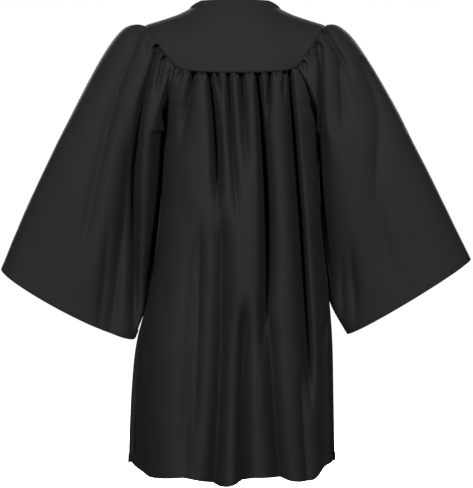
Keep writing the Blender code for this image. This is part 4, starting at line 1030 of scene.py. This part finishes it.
finished_yoke("back_yoke", back_yoke, (0, 1, 1), back_shares <= BACK_NECK_SHARE)
for hand, name, folds, cuff, fullness, back_creases, front_creases in (
    (1.0, "left", FRONT_LEFT_FOLDS, LEFT_CUFF, LEFT_FULLNESS, LEFT_BACK_CREASES, LEFT_FRONT_CREASES),
    (-1.0, "right", FRONT_RIGHT_FOLDS, RIGHT_CUFF, RIGHT_FULLNESS, RIGHT_BACK_CREASES, RIGHT_FRONT_CREASES),
):
    seed = 20 if hand > 0 else 40
    mirror = np.array([hand, 1.0, 1.0])
    edge = -1 if hand > 0 else 0
    front_smooth = panel("front", front_shares, hand, front_drops, front_gaps)
    neck_line = neck_front(front_shares, hand)
    front_yoke = yoke(neck_line, front_smooth[0], NECK_FRONT_DEPTH, FRONT_EASING_SPREAD)
    front, front_normals = gathered_panel(front_smooth, folds, "front", front_shares, seed)
    finished_panel(f"front_panel_{name}", front, front_normals, hand)
    finished_yoke(f"front_yoke_{name}", front_yoke, (0, -1, 1), front_shares <= FRONT_NECK_SHARE, hand)

    # The armhole, from the shoulder down the back and up the front, spread evenly over the sleeve
    down_back = np.concatenate([back_yoke[:, edge], back_smooth[1 : UNDERARM_ROW + 1, edge]])
    up_front = np.concatenate([front_yoke[:, -1], front_smooth[1 : UNDERARM_ROW + 1, -1]])[::-1]
    half = SLEEVE_CELLS // 2
    halves = []
    for line in (down_back, up_front):
        travelled = walked(line[:, None], 0)[:, 0]
        places = np.linspace(0, travelled[-1], half + 1)[:-1]
        halves.append(np.stack([np.interp(places, travelled, line[:, axis]) for axis in range(3)], -1))
    start = np.concatenate(halves) * mirror
    shares = np.arange(SLEEVE_CELLS) / SLEEVE_CELLS
    sleeve = smooth_sleeve(start, shares, cuff, fullness, name)
    backness = smooth(np.sin(2 * np.pi * shares) / LAYER_FADE)
    frontness = smooth(-np.sin(2 * np.pi * shares) / LAYER_FADE)
    below = walked(sleeve, 0)
    at_seam = smooth(below / CREASE_RISE)
    back_depth = crease_depths(back_creases, *seen(sleeve, "back")) * backness * at_seam
    back_depth *= BACK_CREASE_DEPTH
    front_depth = FRONT_CREASE_DEPTH * crease_depths(front_creases, *seen(sleeve, "front"))
    sleeve[..., 1] += front_depth * frontness * at_seam - back_depth
    normals = ring_normals(sleeve)
    head = smooth((np.cos(2 * np.pi * shares) + 0.15) / 0.3)
    seam_across = walked(start[None], 1)
    depth = gather_depths(SLEEVE_GATHERS, seam_across, below, head, seed + 5)
    around = walked(np.concatenate([sleeve, sleeve[:, :1]], axis=1), 1)[:, :-1]
    calm = smooth(np.abs(shares - 0.5) / UNDERARM_CALM)
    depth += soft_dents(around, below, seed + 6) * smooth(below / DENT_RISE) * calm
    depth *= SLEEVE_SEAM_SHARE + (1 - SLEEVE_SEAM_SHARE) * smooth(below / SLEEVE_SEAM_RISE)
    sleeve = sleeve - normals * depth[..., None]
    normals = ring_normals(sleeve)
    sleeve = roll_seam(sleeve, normals, below)
    from_cuff = walked(sleeve[::-1], 0)[::-1]
    sleeve = press_stitch_line(sleeve, normals, from_cuff, HEM_DEPTH)
    cuff_line, cuff_ways = line_inside(sleeve[::-1], normals[::-1], 0, HEM_DEPTH)
    cuff_stitches = stitches(f"sleeve_{name}_cuff_stitches", cuff_line * mirror, cuff_ways * mirror)
    sleeve_grid = sleeve
    sleeve, normals = under_body(sleeve, normals)
    sleeve, normals = with_turning(sleeve, normals, True, CUFF_TURNING_ROWS)
    sleeve_piece = surface(
        f"sleeve_{name}_cloth", sleeve * mirror, normals * mirror, cloth, True, BODY, SLEEVE_ROUND
    )
    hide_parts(f"sleeve_{name}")
    declare(sleeve_grid, ring=True)

    # The tape lies behind the front edge, from the neck to where the fronts are sewn together
    open_rows = front_drops <= SEWN_FROM_DROP
    rows = np.concatenate([front_yoke[:-1], front_smooth[open_rows]])
    tape = np.empty((len(rows), len(TAPE_OUTS), 3))
    tape[..., 0] = np.array(TAPE_OUTS) * hand
    for row, points in enumerate(rows):
        for axis in (1, 2):
            tape[row, :, axis] = np.interp(TAPE_OUTS, np.abs(points[:, 0]), points[:, axis])
    tape_ways = facing(grid_normals(tape), (0, -1, 0))
    tape = tape - tape_ways * TAPE_BELOW_CLOTH
    tape_front = tape + tape_ways * TAPE_THICKNESS / 2
    tape_back = tape - tape_ways * TAPE_THICKNESS / 2
    points = np.concatenate([tape_back[:, :1], tape_front, tape_back[:, -1:]], axis=1)
    ways = np.concatenate([tape_ways[:, :1], tape_ways, tape_ways[:, -1:]], axis=1)
    tape_piece = surface(f"zip_tape_{name}_cloth", points, ways, tape_cloth)
    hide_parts(f"zip_tape_{name}")
    declare(tape)
    zip_line = rows[:, 0] * (0, 1, 1)

# The coil: bent loops that reach over the middle from the left and the right in turn
travelled = walked(zip_line[:, None], 0)[:, 0]
places = np.arange(COIL_PITCH / 2, travelled[-1] - COIL_END, COIL_PITCH / 2)
bases = at_places(places, travelled, zip_line)[:, None]
down = unit(at_places(places, travelled, np.gradient(zip_line, axis=0)))[:, None]
out = np.cross(down, X_AXIS)
out *= np.sign(-out[..., 1:2])
hands = np.where(np.arange(len(places)) % 2, 1.0, -1.0)[:, None, None]
loop_outs = np.array([point.out for point in COIL_LOOP])[:, None]
heights = np.array([point.height for point in COIL_LOOP])[:, None] - CLOTH / 2
leans = np.linspace(-COIL_LEAN, COIL_LEAN, len(COIL_LOOP))[:, None]
spines = bases + X_AXIS * hands * loop_outs + out * heights + down * leans
coil_piece = bars("zip_coil_loops", spines, down + 0 * spines, COIL_RADIUS, coil_nylon)
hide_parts("zip_coil")

# Materials of the solids that stay
for node in ("zip_bottom_stop", "zip_slider", "zip_pull_tab"):
    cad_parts[node].data.materials.clear()
    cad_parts[node].data.materials.append(zinc)


# Camera, floor and light
camera_data = bpy.data.cameras.new("camera")
camera = bpy.data.objects.new("camera", camera_data)
bpy.context.scene.collection.objects.link(camera)
bpy.context.scene.camera = camera
camera.location = (CAMERA_X * MM, VIEW_DISTANCE * MM, CAMERA_HEIGHT * MM)
camera.rotation_euler = (np.pi / 2, 0, np.pi)
camera_data.sensor_width = SENSOR
camera_data.lens = SENSOR * VIEW_DISTANCE / FRAME_HEIGHT
camera_data.clip_end = 50.0


def soft_light(name, place, size, power):
    """A square studio light that looks at the middle of the gown."""
    data = bpy.data.lights.new(name, "AREA")
    data.size = size
    data.energy = power
    light = bpy.data.objects.new(name, data)
    bpy.context.scene.collection.objects.link(light)
    light.location = place
    aim = Vector((0, 0, -0.36)) - light.location
    light.rotation_euler = aim.to_track_quat("-Z", "Y").to_euler()


# Places and size of the lights in metres, their powers in watts
LIGHT_OUT, LIGHT_BACK, LIGHT_HEIGHT, LIGHT_SIZE = 1.15, 2.3, 0.8, 0.7
LEFT_POWER, RIGHT_POWER = 106.0, 90.0
for side, way in (("behind", 1.0), ("before", -1.0)):
    for hand_name, out, power in (("left", LIGHT_OUT, LEFT_POWER), ("right", -LIGHT_OUT, RIGHT_POWER)):
        place = (out, way * LIGHT_BACK, LIGHT_HEIGHT)
        soft_light(f"softbox on the {hand_name} {side}", place, LIGHT_SIZE, power)

floor_mesh = bpy.data.meshes.new("floor")
floor_mesh.from_pydata([(-8, -8, 0), (8, -8, 0), (8, 8, 0), (-8, 8, 0)], [], [(0, 1, 2, 3)])
floor = bpy.data.objects.new("floor", floor_mesh)
bpy.context.scene.collection.objects.link(floor)
floor.location = (0, 0, -FLOOR_DROP * MM)
floor_paint = bpy.data.materials.new("white studio floor")
floor_paint.use_nodes = True
floor_shader = floor_paint.node_tree.nodes["Principled BSDF"]
floor_shader.inputs["Base Color"].default_value = linear("#f8f8f8")
floor_shader.inputs["Roughness"].default_value = 0.9
floor_shader.inputs["Emission Color"].default_value = linear("#ffffff")
floor_shader.inputs["Emission Strength"].default_value = 1.0
floor.visible_diffuse = False
floor.visible_glossy = False
floor_mesh.materials.append(floor_paint)

world = bpy.data.worlds.new("white studio")
world.use_nodes = True
world.node_tree.nodes["Background"].inputs["Color"].default_value = (1.0, 1.0, 1.0, 1.0)
seen_directly = add(world.node_tree, "ShaderNodeLightPath").outputs["Is Camera Ray"]
brightness = add(
    world.node_tree, "ShaderNodeMapRange", {"To Min": AMBIENT, "To Max": 1.0}, Value=seen_directly
)
world.node_tree.links.new(
    brightness.outputs["Result"], world.node_tree.nodes["Background"].inputs["Strength"]
)
bpy.context.scene.world = world
bpy.context.scene.view_settings.view_transform = "Standard"
